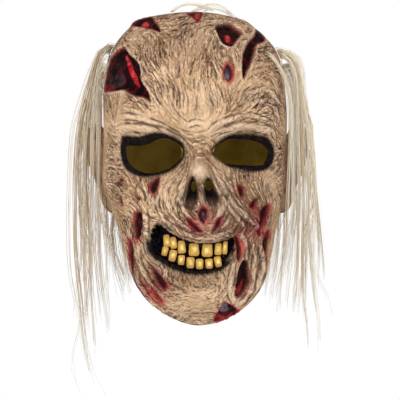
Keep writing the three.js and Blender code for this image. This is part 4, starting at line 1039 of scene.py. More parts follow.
# Black paint, and the painted shadow and shade where the black lies in the tears and nostril pits.
black_paint_and_shade = latex.blend(latex.eased(freckle, 0.42, 0.7), paint(6, 5, 6), paint(26, 25, 33))
dark_flesh = latex.blend(latex.eased(wet, 0.5, 0.75), paint(13, 4, 5), paint(66, 11, 16))
tan = latex.blend(black, tan, latex.blend(blood, black_paint_and_shade, dark_flesh))
raw_paint = latex.blend(latex.eased(wet, 0.35, 0.6), paint(166, 20, 30), paint(206, 62, 62))
tan = latex.blend(raw * (mottled * 0.75 + 0.25), tan, raw_paint)
sinew_paint = latex.blend(latex.eased(wet, 0.35, 0.6), paint(46, 47, 56), paint(98, 94, 100))
latex.set(
    Base_Color=latex.blend(sinew, tan, sinew_paint),
    Roughness=latex.eased(freckle, 0.3, 0.7) * 0.14 + (0.6 - 0.24 * blood - 0.12 * black),
    Coat_Weight=wet * blood * 0.12 + 0.05 * (1 - black),
)
latex.bump(grain * 0.35 + freckle * 0.5 - crease * 0.8 - strokes * 0.7, 0.0006, 0.75)

bare = Finish("bare lining latex", roughness=0.7, specular_ior_level=0.2)
bare_cloud = bare.noise(40, 4)
bare.set(Base_Color=bare.blend(bare.eased(bare_cloud, 0.35, 0.7), paint(188, 163, 76), paint(158, 134, 56)))
bare.bump(bare.noise(500, 3), 0.0004, 0.5)

faces = [*quads.tolist(), *edge_faces, *rim_quads.tolist(), *inner_quads.tolist(), *crown_triangles]
slots = [0] * (len(quads) + len(edge_faces) + columns) + [1] * len(inner_quads)
slots += [0] * columns + [1] * inner_columns
mask_skin = new_piece("latex_skin", np.concatenate(points), faces, [latex.material, bare.material], slots)
for name, parts in marks_flat.items():
    give(mask_skin, name, np.concatenate(parts))
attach(mask_skin, "root")

# THE EARS
# Each ear is cast in one with the head, and stands off it at a slant. Only its rim and its lobe show
# beside the hair. It has a rolled rim, a second ridge inside it and a deep bowl.
ear_height, ear_width = 86.0, 45.0
ear_flare, ear_lean = math.radians(28), math.radians(6)
ear_seat = half_breadth - 3.5  # how far across its root is
ear_drop = 0.352
# the ear's outline, in widths back from its root and heights up from its lobe
ear_outline = [
    (0.04, 0.02), (0.3, 0), (0.5, 0.1), (0.62, 0.28), (0.86, 0.48), (1, 0.72), (0.92, 0.92), (0.6, 1),
    (0.26, 0.95), (0.04, 0.8), (-0.06, 0.5), (-0.04, 0.2),
]
ear_rings, ear_spokes = 16, 72


def ear_piece(side, name):
    curve = closed_curve([(b * ear_width, wall - h * ear_height) for b, h in ear_outline], ear_spokes)
    centre = np.array([0.42 * ear_width, 0.55 * ear_height])
    share = np.linspace(0, 1, ear_rings + 1)[1:][::-1]
    flat = centre + (curve - centre) * share[:, None, None]
    b, h = flat[..., 0] / ear_width, flat[..., 1] / ear_height
    rim = np.exp(-(((share - 0.9) / 0.1) ** 2))[:, None] * smooth(b, -0.1, 0.35)
    inner_ridge = np.exp(-(((share - 0.58) / 0.11) ** 2))[:, None]
    inner_ridge = inner_ridge * smooth(b, 0.25, 0.6) * smooth(h, 0.2, 0.4)
    bowl = np.exp(-(((b - 0.36) / 0.2) ** 2 + ((h - 0.42) / 0.17) ** 2))
    folds_here = 0.35 * np.sin(26 * h + 5 * np.sin(9 * b)) * smooth(share, 0.2, 0.7)[:, None]
    face = 4.2 + 2.3 * rim + 1.6 * inner_ridge - 2.8 * bowl + folds_here
    round_edge = np.sqrt(np.clip(1 - ((share - 0.9) / 0.1).clip(0, 1) ** 2, 0, 1))[:, None]
    face = face * (0.35 + 0.65 * round_edge)
    front = np.concatenate([flat, face[..., None]], -1).reshape(-1, 3)
    behind = np.broadcast_to(1.4 * (1 - round_edge), face.shape)
    back = np.concatenate([flat, behind[..., None]], -1).reshape(-1, 3)
    backwards = np.array([side * math.sin(ear_flare), math.cos(ear_flare), 0])
    outwards = np.array([side * math.cos(ear_flare), -math.sin(ear_flare), 0])
    local = np.concatenate([front, back]) - [0, ear_height, 0]
    placed = local[:, :1] * backwards + local[:, 2:] * outwards + local[:, 1:2] * np.array([0, 0, 1])
    c, s = math.cos(side * ear_lean), math.sin(side * ear_lean)
    x, z = placed[:, 0] * c + placed[:, 2] * s, placed[:, 2] * c - placed[:, 0] * s
    made = np.stack([x + side * ear_seat, placed[:, 1] + 1, z + wall - ear_drop * head_height], 1)
    count = ear_rings * ear_spokes
    at = np.arange(count).reshape(ear_rings, ear_spokes)
    beside = np.roll(at, -1, 1)
    front_faces = faces_between(at)
    back_faces = front_faces[:, ::-1] + count
    edge = np.stack([at[0], at[0] + count, beside[0] + count, beside[0]], -1)
    middles = [made[end - ear_spokes:end].mean(0, keepdims=True) for end in (count, 2 * count)]
    made = np.concatenate([made, *middles])
    caps = [(2 * count, a, b) for a, b in zip(at[-1], beside[-1])]
    caps += [(2 * count + 1, b + count, a + count) for a, b in zip(at[-1], beside[-1])]
    faces = [*front_faces.tolist(), *back_faces.tolist(), *edge.tolist(), *caps]
    ear = new_piece(name, made, faces, [latex.material])
    # The bowl and the inside of the rim are darkened with painted shade, and the back with a lighter
    # painted shade.
    hollow = np.clip(0.9 * bowl + 0.4 * (1 - rim) * smooth(share, 0.5, 0.8)[:, None], 0, 1).reshape(-1)
    shade = np.concatenate([hollow, np.full(count, 0.4), [0.6, 0.4]])
    lines_here = np.clip(-folds_here * 2.2, 0, 1).reshape(-1)
    give(ear, "wash_and_shade", np.clip(shade + 0.2, 0, 1))
    give(ear, "crease", np.concatenate([lines_here, np.zeros(count + 2)]))
    give(ear, "ink", 0.8 * (1 - np.clip(shade, 0, 1)))
    give(ear, "way_c", np.zeros(len(shade)))
    give(ear, "way_s", np.full(len(shade), 0.5))
    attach(ear, "root")


ear_piece(-1, "left_ear")
ear_piece(1, "right_ear")
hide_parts("mask_skin")

# THE TEETH
# Two rows of seven teeth are cast in hard resin on a thin strip of gum and glued to the mouth's floor.
# They are painted gold over cream, with brown round each tooth that is part paint and part painted shade,
# darkest down its sides, and browner towards the gum. The gum strip is black like the mouth.
glue_gap = 0.3
gum_height, gum_thickness, gum_overhang = 5.0, 2.4, 2.5
tooth_sides, tooth_squareness = 28, 0.45
gum_stations, gum_sides = 57, 9
# how high each ring of a tooth stands, and its share of the tooth's full size
tooth_rings = [
    (0, 0.82), (2, 0.9), (4, 0.97), (5.2, 1), (5.9, 0.95), (6.3, 0.8), (6.5, 0.5), (6.55, 0.2),
]
# across, drop, wide, tall, turn
upper_teeth = [
    (-0.321, 0.7316, 0.074, 0.04, 6), (-0.251, 0.7375, 0.074, 0.038, 5), (-0.163, 0.751, 0.085, 0.042, 4),
    (-0.032, 0.7587, 0.111, 0.042, 1), (0.11, 0.76, 0.115, 0.044, -2), (0.228, 0.757, 0.077, 0.04, -3),
    (0.3, 0.7526, 0.055, 0.043, -4),
]
lower_teeth = [
    (-0.342, 0.764, 0.066, 0.03, -14), (-0.258, 0.778, 0.082, 0.037, -12),
    (-0.167, 0.7915, 0.074, 0.032, -4), (-0.069, 0.8, 0.086, 0.036, -3), (0.028, 0.804, 0.082, 0.033, 0),
    (0.13, 0.803, 0.082, 0.032, 4), (0.224, 0.797, 0.076, 0.034, 12),
]

enamel = Finish("gold and cream enamel", roughness=0.32, coat_weight=0.35, coat_roughness=0.2)
edge_of_tooth, root_of_tooth = enamel.mark("edge"), enamel.mark("root")
stain = enamel.noise(300, 3)
gold = enamel.blend(enamel.eased(stain, 0.35, 0.7), paint(246, 230, 140), paint(228, 196, 74))
# Brown towards each tooth's edge, darkest down its sides: paint and painted shade.
gold = enamel.blend(enamel.eased(edge_of_tooth + (stain - 0.5) * 0.6, 0.05, 0.7), gold, paint(184, 136, 34))
streak = enamel.noise(1.0, 2.0, enamel.vector("MULTIPLY", enamel.place, (900.0, 200.0, 160.0)))
gold = enamel.blend(enamel.eased(streak, 0.5, 0.75) * 0.55, gold, paint(170, 112, 36))
gold = enamel.blend(enamel.eased(root_of_tooth, 0.35, 1.0) * 0.55, gold, paint(160, 104, 24))
gold = enamel.blend(enamel.eased(edge_of_tooth, 0.86, 1.0), gold, paint(70, 40, 14))
enamel.set(Base_Color=gold, Roughness=enamel.eased(stain, 0.3, 0.8) * 0.2 + 0.24)
enamel.bump(stain, 0.0004, 0.4)
gum = Finish("black gum", roughness=0.5, specular_ior_level=0.2)
gum_cloud = gum.noise(220, 3)
gum.set(Base_Color=gum.blend(gum.eased(gum_cloud, 0.4, 0.7), paint(20, 18, 20), paint(46, 40, 40)))
gum.bump(gum_cloud, 0.0008, 0.6)


def on_arch(across_mm, down_mm, height):
    back = floor_front + across_mm * across_mm / (2 * arch_radius)
    return np.stack(np.broadcast_arrays(across_mm, back - height, wall - down_mm), -1)


def teeth_piece(name, teeth, gum_side):
    corners, faces, slots, edge, root = [], [], [], [], []
    around = np.linspace(0, 2 * np.pi, tooth_sides, endpoint=False) + 0.1
    c, s = np.cos(around), np.sin(around)
    start = 0
    for number, (across, drop, wide, tall, turn) in enumerate(teeth):
        bite = np.where(s * gum_side > 0, 0.93, 1.03)
        x = np.sign(c) * np.abs(c) ** tooth_squareness * wide * half_breadth / 2 * bite * 1.06
        z = np.sign(s) * np.abs(s) ** tooth_squareness * tall * head_height / 2 * 1.04
        chipped = 0.25 * math.sin(5 * number + 1) * np.where(s * gum_side < 0, 1, 0)
        z = z + chipped * np.sin(3 * around + number)
        slant = math.radians(turn)
        for height, share in tooth_rings:
            over = across * half_breadth + share * (x * math.cos(slant) - z * math.sin(slant))
            down = drop * head_height - share * (z * math.cos(slant) + x * math.sin(slant))
            corners.append(on_arch(over, down, glue_gap + height))
            edge.append(np.full(tooth_sides, share if height > 5 else 1.0))
            root.append(np.clip(0.5 + 0.5 * gum_side * s * share, 0, 1))
        at = start + np.arange(len(tooth_rings) * tooth_sides).reshape(-1, tooth_sides)
        body = faces_between(at).tolist()
        faces += body + [at[-1].tolist(), at[0, ::-1].tolist()]
        slots += [0] * (len(body) + 2)
        start += at.size
    gum_line = [
        (across * half_breadth, (drop - gum_side * tall / 2) * head_height + gum_side * gum_height / 2)
        for across, drop, _, tall, _ in teeth
    ]
    (first_x, first_z), (last_x, last_z) = gum_line[0], gum_line[-1]
    gum_line = [(first_x - gum_overhang, first_z), *gum_line, (last_x + gum_overhang, last_z)]
    strip = []
    for station in np.linspace(0, len(gum_line) - 1, gum_stations):
        i = min(int(station), len(gum_line) - 2)
        f = station - i
        over, down = (a * (1 - f) + b * f for a, b in zip(gum_line[i], gum_line[i + 1]))
        scallop = 0.35 * math.cos(2 * math.pi * station)
        for t in np.linspace(0, math.pi, gum_sides):
            height = glue_gap + (gum_thickness + scallop) * math.sin(t) ** 0.7
            strip.append(on_arch(over, down - math.cos(t) * gum_height / 2, height))
    corners.append(np.array(strip))
    at = start + np.arange(gum_stations * gum_sides).reshape(-1, gum_sides)
    body = faces_between(at, turned=True).tolist()
    faces += body + [at[0].tolist(), at[-1, ::-1].tolist()]
    slots += [1] * (len(body) + 2)
    corners = np.concatenate([np.asarray(part).reshape(-1, 3) for part in corners])
    piece = new_piece(name + "_row", corners, faces, [enamel.material, gum.material], slots)
    give(piece, "edge", np.append(np.concatenate(edge), np.zeros(at.size)))
    give(piece, "root", np.append(np.concatenate(root), np.zeros(at.size)))
    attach(piece, "root")
    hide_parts(name)


teeth_piece("upper_teeth", upper_teeth, 1)
teeth_piece("lower_teeth", lower_teeth, -1)

# THE HAIR
# Long pale synthetic hair is sewn to narrow wefts that are glued along the sides and back of the head. It
# springs up and out of the weft, arches over and hangs in thin, uneven locks past the jaw.
hair_length, hair_stand = 322.0, 20.0
temple_reach = 88.0  # how far from the middle the drawn wisps are rooted
off_the_ear = 9.0
weft_thickness = 1.6
# degrees round from the nose, and the drop: the weft runs on to the front beyond its locks
left_front_weft = [(-80, 0.2), (-87, 0.165), (-95, 0.145), (-103, 0.15)]
right_front_weft = [(70, 0.17), (79, 0.165), (88, 0.165), (97, 0.165)]
# around, drop, stand, lift, fall, spread, tuck, sway
left_locks = [
    (-111, 0.175, 0.9, 0.25, 0.9, 1.1, 0.8, 0.3), (-120, 0.205, 0.85, 0.15, 0.78, 0.8, 1, 0.25),
    (-130, 0.23, 0.7, 0.1, 0.7, 0.5, 0.9, 0.2), (-141, 0.25, 0.6, 0.1, 0.62, 0.25, 0.7, 0.2),
]
right_locks = [
    (105, 0.175, 0.9, 0.2, 0.76, 0.9, -0.4, -0.2), (115, 0.2, 0.85, 0.15, 0.74, 0.7, 0.6, -0.25),
    (127, 0.23, 0.7, 0.1, 0.68, 0.4, 0.8, -0.2), (140, 0.25, 0.6, 0.1, 0.6, 0.2, 0.7, -0.2),
]
back_locks = [
    (153, 0.262, 0.6, 0.05, 0.58, 0.1, 0.6, 0.15), (162, 0.268, 0.6, 0.05, 0.62, 0.1, 0.6, 0.2),
    (171, 0.272, 0.6, 0.05, 0.59, 0.1, 0.7, -0.15), (180, 0.274, 0.6, 0.05, 0.63, 0.1, 0.6, 0.2),
    (189, 0.272, 0.6, 0.05, 0.6, 0.1, 0.7, 0.15), (198, 0.268, 0.6, 0.05, 0.62, 0.1, 0.6, -0.2),
    (207, 0.262, 0.6, 0.05, 0.57, 0.1, 0.6, 0.15),
]

strand_colour = Finish("pale synthetic hair", roughness=0.42, ior=1.5, specular_ior_level=0.25)
tone, along_strand = strand_colour.mark("tone"), strand_colour.mark("along")
pale = strand_colour.blend(strand_colour.eased(tone, 0.1, 0.6), paint(198, 174, 140), paint(244, 231, 206))
pale = strand_colour.blend(strand_colour.eased(tone, 0.5, 1.0), pale, paint(252, 248, 236))
pale = strand_colour.blend(strand_colour.eased(along_strand, 0.1, 0.0) * 0.35, pale, paint(176, 154, 120))
# Darker towards the tips: painted shade.
pale = strand_colour.blend(strand_colour.eased(along_strand, 0.4, 1.0) * 0.32, pale, paint(192, 170, 138))
dusty = strand_colour.noise(90, 2)
pale = strand_colour.blend(strand_colour.eased(dusty, 0.5, 0.8) * 0.25, pale, paint(210, 192, 158))
strand_colour.set(Base_Color=pale, Roughness=strand_colour.eased(dusty, 0.3, 0.7) * 0.15 + 0.38)

drop_samples = np.linspace(0.02, 12.0, 240)


def root_on_skin(around, drop):
    """Places on the scalp at angles round it and depths down it, with the way out of the skin."""
    heights = skull_at(drop_samples[:, None], around[None])[..., 2]
    level = np.array([
        np.interp(wall_drop, (wall - column) / head_height, drop_samples)
        for wall_drop, column in zip(drop, heights.T)
    ])
    here = skin_at(level, around)
    down = skull_at(level + 0.02, around) - skull_at(level - 0.02, around)
    across = skull_at(level, around + 0.02) - skull_at(level, around - 0.02)
    normal = np.cross(down, across)
    normal /= np.linalg.norm(normal, axis=-1, keepdims=True)
    return here, normal


# a table of how far out the head's skin is, by the way round and the height
turn_step, height_step = math.radians(3), 3.0
head_turns = np.radians(np.arange(0, 360, 3))
head_levels = np.linspace(0.5, last_section, 90)
head_grid = skin_at(*np.meshgrid(head_levels, head_turns, indexing="ij"))
head_clear = np.linalg.norm(head_grid[..., :2], axis=-1)
head_angle = np.arctan2(head_grid[..., 0], -head_grid[..., 1])
height_marks = np.arange(0, -300, -height_step)
radius_table = np.zeros((len(height_marks), len(head_turns)))
for i, heading in enumerate(head_turns):
    near = np.abs((head_angle - heading + math.pi) % (2 * math.pi) - math.pi) < math.radians(3.5)
    z_here, r_here = head_grid[..., 2][near], head_clear[near]
    for j, z in enumerate(height_marks):
        band = np.abs(z_here - z) < 5
        radius_table[j, i] = r_here[band].max() if band.any() else 0


def kept_off_head(path, gap):
    """Moves the points of strands that would pass through the head out to just over its skin."""
    turn_here = np.arctan2(path[..., 0], -path[..., 1]) % (2 * math.pi)
    i = np.rint(turn_here / turn_step).astype(int) % len(head_turns)
    j = np.clip(np.rint(-path[..., 2] / height_step).astype(int), 0, len(height_marks) - 1)
    below_rim = path[..., 2] < height_marks[-1]
    clear = np.where(below_rim, 0, radius_table[j, i]) + gap
    radius = np.linalg.norm(path[..., :2], axis=-1)
    scale = np.maximum(1, clear / np.maximum(radius, 1))
    moved = path.copy()
    moved[..., :2] *= scale[..., None]
    return moved


def tubes(paths, thickness, tones):
    """Three-sided tapering strands through rows of points, with tones and how far along each point is."""
    count, stations = paths.shape[:2]
    tangent = np.gradient(paths, axis=1)
    tangent /= np.maximum(np.linalg.norm(tangent, axis=-1, keepdims=True), 1e-9)
    side = np.cross(tangent, [0, 1.0, 0.03])
    side /= np.maximum(np.linalg.norm(side, axis=-1, keepdims=True), 1e-9)
    other = np.cross(tangent, side)
    t = np.linspace(0, 1, stations)
    width = thickness[:, None] * (1 - 0.6 * t**3)
    corners = []
    for k in range(3):
        turn = 2 * math.pi * k / 3
        corners.append(paths + (side * math.cos(turn) + other * math.sin(turn)) * width[..., None] / 2)
    corners = np.stack(corners, 2)
    at = np.arange(count * stations * 3).reshape(count, stations, 3)
    beside = np.roll(at, -1, 2)
    body = np.stack([at[:, :-1], beside[:, :-1], beside[:, 1:], at[:, 1:]], -1).reshape(-1, 4)
    ends = np.concatenate([at[:, 0, ::-1], at[:, -1]])
    faces = body.tolist() + ends.tolist()
    return corners.reshape(-1, 3), faces, np.repeat(tones, stations * 3), np.tile(np.repeat(t, 3), count)


def kept_off_ears(path):
    """Lays strands over the front of an ear instead of through it."""
    side = np.sign(path[..., 0])
    beside, behind = np.abs(path[..., 0]) - ear_seat, path[..., 1] - 1
    proud = beside * math.cos(ear_flare) - behind * math.sin(ear_flare)
    back = beside * math.sin(ear_flare) + behind * math.cos(ear_flare)
    near = smooth(back, -12, 2) * (1 - smooth(back, 48, 58)) * smooth(proud, -8, -2)
    near = near * smooth(path[..., 2], -206, -190) * (1 - smooth(path[..., 2], -104, -90))
    shift = near * np.maximum(0, off_the_ear - proud)
    moved = path.copy()
    moved[..., 0] += side * shift * math.cos(ear_flare)
    moved[..., 1] -= shift * math.sin(ear_flare)
    return moved


def lock_strands(guides, wisps_each, strands_each, seed, stations=15):
    """Strands that follow the locks' guides, gathered into wisps that draw together towards their tips."""
    rng = np.random.default_rng(seed)
    guides = np.array(guides, float)
    wisps = len(guides) * wisps_each
    place = np.repeat(np.arange(len(guides)), wisps_each) + rng.uniform(-0.45, 0.45, wisps)
    place = np.clip(place, 0, len(guides) - 1)
    low = np.minimum(place.astype(int), len(guides) - 2)
    share = (place - low)[:, None]
    mixed = guides[low] * (1 - share) + guides[low + 1] * share
    around, drop, stand, lift, fall, spread, tuck, sway = mixed.T
    around, drop = around + rng.normal(0, 1.0, wisps), drop + rng.normal(0, 0.006, wisps)
    stand = stand * rng.normal(0.72, 0.12, wisps)
    lift = lift * rng.normal(1, 0.25, wisps)
    fall = fall * np.clip(1.02 - np.abs(rng.normal(0, 0.2, wisps)), 0.35, 1.02)
    spread = spread * rng.normal(0.92, 0.16, wisps)
    tuck = tuck + rng.normal(0, 0.15, wisps)
    sway = sway + rng.normal(0, 0.25, wisps)
    own = np.repeat(np.arange(wisps), strands_each)
    count = len(own)
    turn = np.radians(around[own] + rng.normal(0, 0.9, count))
    root, normal = root_on_skin(turn, drop[own] + rng.normal(0, 0.004, count))
    root = root + normal * (0.3 + weft_thickness / 2)
    heading = np.radians(around)[own]
    outward = np.stack([np.sin(heading), -np.cos(heading), 0 * heading], -1)[:, None]
    sideways = np.stack([outward[..., 1], -outward[..., 0], 0 * outward[..., 0]], -1)
    t = (np.linspace(0, 1, stations) ** 1.7)[None]
    over = np.minimum(1, t / 0.16)
    reach = stand[own, None] * np.sin(over * math.pi / 2) + spread[own, None] * (1 - (1 - t) ** 2.2)
    reach = reach - 0.8 * tuck[own, None] * t * t
    hanging = np.maximum(0, t - 0.08) / 0.92
    length = fall[own] * rng.uniform(0.86, 1.0, count)
    height = lift[own, None] * hair_stand * np.sin(over * math.pi) - hair_length * length[:, None] * hanging
    wave, pitch = rng.uniform(0, 2 * math.pi, (2, wisps))
    wander = sway[own, None] * np.sin(2 * math.pi * t) * t
    wander = wander + 0.13 * np.sin((5 + pitch[own, None]) * t + wave[own, None]) * t
    gather = smooth(t, 0, 0.1) * (1 - 0.75 * t)
    off_out, off_side = rng.normal(0, 1.25, (2, count, 1)) * gather
    stray = (rng.random((count, 1)) < 0.07) * rng.normal(0, 7, (count, 1)) * t**1.5
    path = root[:, None] + outward * (reach * hair_stand + off_out + stray)[..., None]
    path = path + sideways * (wander * hair_stand + off_side + 0.6 * stray)[..., None]
    path[..., 2] += height
    tones = np.clip(0.55 + 0.2 * rng.standard_normal(wisps)[own] + 0.12 * rng.standard_normal(count), 0, 1)
    return path, tones


def drawn_strands(drawn, side, seed, stations=20):
    """Strands along wisps that are drawn from the front: points, a count, and depths behind the temple."""
    rng = np.random.default_rng(seed)
    paths, tones = [], []
    for points_down, count, first_depth, last_depth in drawn:
        line = np.array(points_down) * [1, -1] + [0, wall]
        knots = np.linspace(0, len(line) - 1, 80)
        i = np.minimum(knots.astype(int), len(line) - 2)
        f = (knots - i)[:, None]
        padded = np.concatenate([[2 * line[0] - line[1]], line, [2 * line[-1] - line[-2]]])
        p0, p1, p2, p3 = padded[i], padded[i + 1], padded[i + 2], padded[i + 3]
        line = smooth_between(p0, p1, p2, p3, f)
        run = np.append(0, np.linalg.norm(np.diff(line, axis=0), axis=-1).cumsum())
        wisp_tone = 0.6 + 0.16 * rng.standard_normal()
        for _ in range(count):
            length = run[-1] * rng.uniform(0.78, 1.0) if count > 3 else run[-1]
            t = np.linspace(0, 1, stations) ** 1.35
            at = t * length
            depth = rng.uniform(first_depth, last_depth)
            angle = side * (90 + math.degrees(math.asin(np.clip(depth / temple_reach, -0.9, 0.9))))
            drop = -(line[0, 1] - wall) / head_height + rng.normal(0, 0.006)
            root, normal = root_on_skin(np.radians([angle]), np.array([drop]))
            root = root[0] + normal[0] * (0.3 + weft_thickness / 2)
            x, z = np.interp(at, run, line[:, 0]), np.interp(at, run, line[:, 1])
            gather = smooth(t, 0, 0.12) * (1 - 0.55 * t)
            home = (1 - smooth(t, 0, 0.09))[:, None]
            sideways, around_it = rng.normal(0, 1.7, 2)
            drift = rng.normal(2, 4)
            phase = rng.uniform(0, 2 * math.pi)
            x = x + sideways * gather + 0.8 * np.sin(7 * t + phase) * t
            z = z + 0.4 * around_it * gather
            y = depth + max(0, -22 - depth) * smooth(t, 0.04, 0.4) + drift * t + around_it * gather
            path = np.stack([x, y, z], -1)
            paths.append(path + (root - path[0]) * home)
            tones.append(wisp_tone + 0.12 * rng.standard_normal())
    return np.array(paths), np.clip(tones, 0, 1)


def hair_piece(name, weft, strands, cad_node):
    parts = []
    for path, tones, seed in strands:
        gap = np.random.default_rng(seed).uniform(0.8, 4.0, (len(path), 1))
        free = (np.linspace(0, 1, path.shape[1]) > 0.15)[None, :, None]
        path = np.where(free, kept_off_ears(kept_off_head(path, gap)), path)
        thickness = np.random.default_rng(seed + 1).uniform(0.38, 0.62, len(path))
        parts.append(tubes(path, thickness, tones))
    stations = np.linspace(0, len(weft) - 1, 6 * len(weft))
    turn, drop = (np.interp(stations, np.arange(len(weft)), column) for column in np.array(weft, float).T)
    around = np.radians(turn)
    ring = []
    for down, up in ((-0.008, 0.3), (0.008, 0.3), (0.008, 1.4), (0.0, 1.6), (-0.008, 1.4)):
        here, normal = root_on_skin(around, drop + down)
        ring.append(here + normal * up)
    strip = np.stack(ring, 1)
    at = np.arange(strip.size // 3).reshape(len(stations), -1)
    strip_faces = faces_between(at).tolist() + [at[0, ::-1].tolist(), at[-1].tolist()]
    parts.append((strip.reshape(-1, 3), strip_faces, np.full(at.size, 0.3), np.full(at.size, 0.05)))
    faces, start = [], 0
    for corners, own_faces, _, _ in parts:
        faces += [[start + corner for corner in face] for face in own_faces]
        start += len(corners)
    corners, tones, along = (np.concatenate([part[i] for part in parts]) for i in (0, 2, 3))
    piece = new_piece(name, corners, faces, [strand_colour.material])
    give(piece, "tone", tones)
    give(piece, "along", along)
    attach(piece, "root")
    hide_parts(cad_node)


# each wisp from its root over the arch and down, how many strands it has, and how far behind the temple
# it starts
left_wisps = [
    ([
        (-80.8, 33.2), (-87, 31.8), (-94, 35.6), (-98.8, 47.5), (-105.9, 65.3), (-114, 91.2),
        (-120.2, 115.9), (-123, 174.8), (-122.5, 232.8), (-118.8, 262.2), (-112.1, 290.7), (-108.3, 320.1),
        (-103.5, 336.3), (-95, 361),
    ], 7, 0, 12),
    ([
        (-80.8, 34.2), (-87.4, 33.2), (-93.6, 38.5), (-97.4, 50.3), (-101.6, 64.6), (-107.8, 88.3),
        (-113, 114), (-115.9, 145.3), (-116.8, 178.6), (-115.9, 226.1), (-111.1, 273.6), (-107.3, 311.6),
        (-101.6, 340.1), (-88.3, 366.7),
    ], 16, 0, 14),
    ([
        (-80.8, 35.6), (-86.5, 35.1), (-92.1, 40.9), (-95.5, 53.2), (-99.3, 70.3), (-103.5, 93.1),
        (-106.4, 121.6), (-107.3, 150.1), (-107.3, 197.6), (-107.3, 245.1), (-105.4, 283.1),
        (-103.5, 311.6),
    ], 24, -4, 14),
    ([
        (-80.8, 38), (-85.5, 37.5), (-90.7, 43.7), (-93.6, 55.1), (-95.9, 70.3), (-97.8, 89.3),
        (-99.8, 121.6), (-100.2, 159.6), (-101.2, 197.6), (-100.7, 237.5), (-102.6, 273.6), (-105.4, 302.1),
    ], 22, -6, 10),
    ([
        (-84.1, 42.8), (-88.3, 45.6), (-91.9, 54.1), (-93.6, 66.5), (-94.5, 81.7), (-94, 98.8),
        (-94, 121.6), (-94, 159.6), (-95.9, 192.8), (-98.8, 226.1), (-101.6, 259.3),
    ], 5, -10, 6),
    ([
        (-86, 52.2), (-89.3, 56), (-92.1, 64.6), (-93.3, 77.9), (-93.5, 95), (-93.1, 121.6), (-93.1, 159.6),
        (-94, 192.8), (-96.9, 230.8),
    ], 4, -8, 6),
    ([
        (-87.4, 62.7), (-89.8, 66.5), (-91.6, 75), (-92.1, 87.4), (-91.9, 104.5), (-92.1, 131.1),
        (-92.1, 169.1), (-93.1, 202.3), (-95, 237.5),
    ], 5, -8, 6),
    ([
        (-81.7, 37), (-87.4, 35.1), (-93.1, 41.8), (-96.9, 55.1), (-100.7, 70.3), (-104.5, 93.1),
        (-105.4, 126.3), (-105.4, 154.8), (-103.5, 192.8), (-101.6, 226.1), (-104.5, 264.1),
        (-108.3, 292.6),
    ], 14, 0, 18),
    ([
        (-87.9, 73.1), (-89.5, 78.8), (-90.6, 89.3), (-91.2, 104.5), (-91.2, 150.1), (-89.3, 196.6),
        (-86.5, 232.8), (-82.8, 303.1),
    ], 6, -6, 2),
    ([
        (-82.2, 36.1), (-88.3, 33.2), (-94.5, 40.9), (-100.7, 62.7), (-109.7, 93.1), (-115.9, 131.1),
        (-116.8, 178.6), (-114.9, 226.1), (-111.1, 264.1), (-110.2, 290.7), (-114.2, 308.8),
        (-119.2, 327.8), (-118.5, 344.8), (-112.7, 359.1), (-107.3, 367.6),
    ], 4, 0, 10),
    ([
        (-88.3, 79.8), (-89.7, 85.5), (-90.4, 97.8), (-90.4, 116.8), (-89.8, 140.6), (-88.3, 178.6),
        (-87.4, 216.6), (-88.3, 256.5), (-95.9, 273.6), (-106.9, 287.8),
    ], 4, -4, 4),
    ([
        (-82.2, 38), (-88.3, 35.6), (-94, 43.7), (-99.3, 64.6), (-106.4, 95), (-111.6, 131.1),
        (-112.1, 178.6), (-110.2, 226.1), (-114.9, 268.8), (-117.8, 302.1),
    ], 10, 4, 18),
]
right_wisps = [
    ([
        (77.9, 37.5), (84.5, 36.4), (91.2, 38.3), (96.9, 43.2), (100, 55.1), (100.7, 70.3), (103.1, 87.4),
        (107.3, 108.3), (112.1, 149.2), (112.6, 200.4), (111.1, 235.6), (116.8, 256.5), (126.3, 273.6),
        (128.2, 289.8),
    ], 9, 0, 12),
    ([
        (77.9, 38.5), (84.5, 38), (90.7, 40.4), (95.5, 47.5), (98.4, 60.8), (99.8, 76), (102.1, 93.1),
        (105, 116.8), (106.4, 150.1), (107.3, 200.4), (108.3, 242.2), (112.1, 273.6), (115.9, 304),
        (115.4, 324.9),
    ], 16, 0, 14),
    ([
        (77.9, 39.9), (84.5, 39.9), (90.1, 43.7), (94.2, 52.2), (96.4, 64.6), (97.8, 81.7), (99.3, 104.5),
        (100.2, 131.1), (101.6, 178.6), (100.7, 226.1), (100.7, 264.1), (104.5, 297.3), (106, 319.2),
    ], 22, -2, 16),
    ([
        (78.8, 42.8), (84.5, 43.7), (89.6, 48.4), (93.1, 57.9), (94.6, 70.3), (95.5, 86.5), (95.9, 112.1),
        (96.9, 145.3), (96.9, 188.1), (95.9, 230.8), (95, 264.1), (91.2, 292.6),
    ], 20, -12, 12),
    ([
        (83.1, 70.3), (86.5, 75), (88.8, 83.6), (90.1, 96.9), (90.2, 119.7), (90.7, 152), (90.2, 186.2),
        (86.5, 221.3), (83.6, 254.6),
    ], 16, -20, 2),
    ([
        (77.9, 40.9), (84.5, 41.8), (90.7, 46.5), (95, 57), (97.7, 74.1), (99.8, 102.6), (102.6, 140.6),
        (105.4, 188.1), (103.5, 230.8), (97.8, 264.1), (94, 294.5),
    ], 14, 2, 18),
    ([
        (81.3, 42.8), (86.5, 45.6), (90.8, 52.2), (93.3, 64.6), (92.6, 83.6), (90.2, 121.6), (88.3, 169.1),
        (84.5, 216.6), (79.8, 264.1), (79.2, 309.7), (82.3, 341.1),
    ], 4, -4, 4),
    ([
        (82.6, 51.3), (87.4, 57), (91.2, 70.3), (93.1, 93.1), (93.6, 116.8), (93.1, 159.6), (92.1, 207.1),
        (86.5, 240.3), (75, 261.2), (69.3, 268.8),
    ], 4, -4, 4),
    ([
        (83.1, 58.9), (87.9, 65.5), (91.7, 79.8), (94, 98.8), (95, 140.6), (94, 192.8), (90.2, 237.5),
        (95.9, 264.1), (101.6, 285),
    ], 5, -2, 8),
]
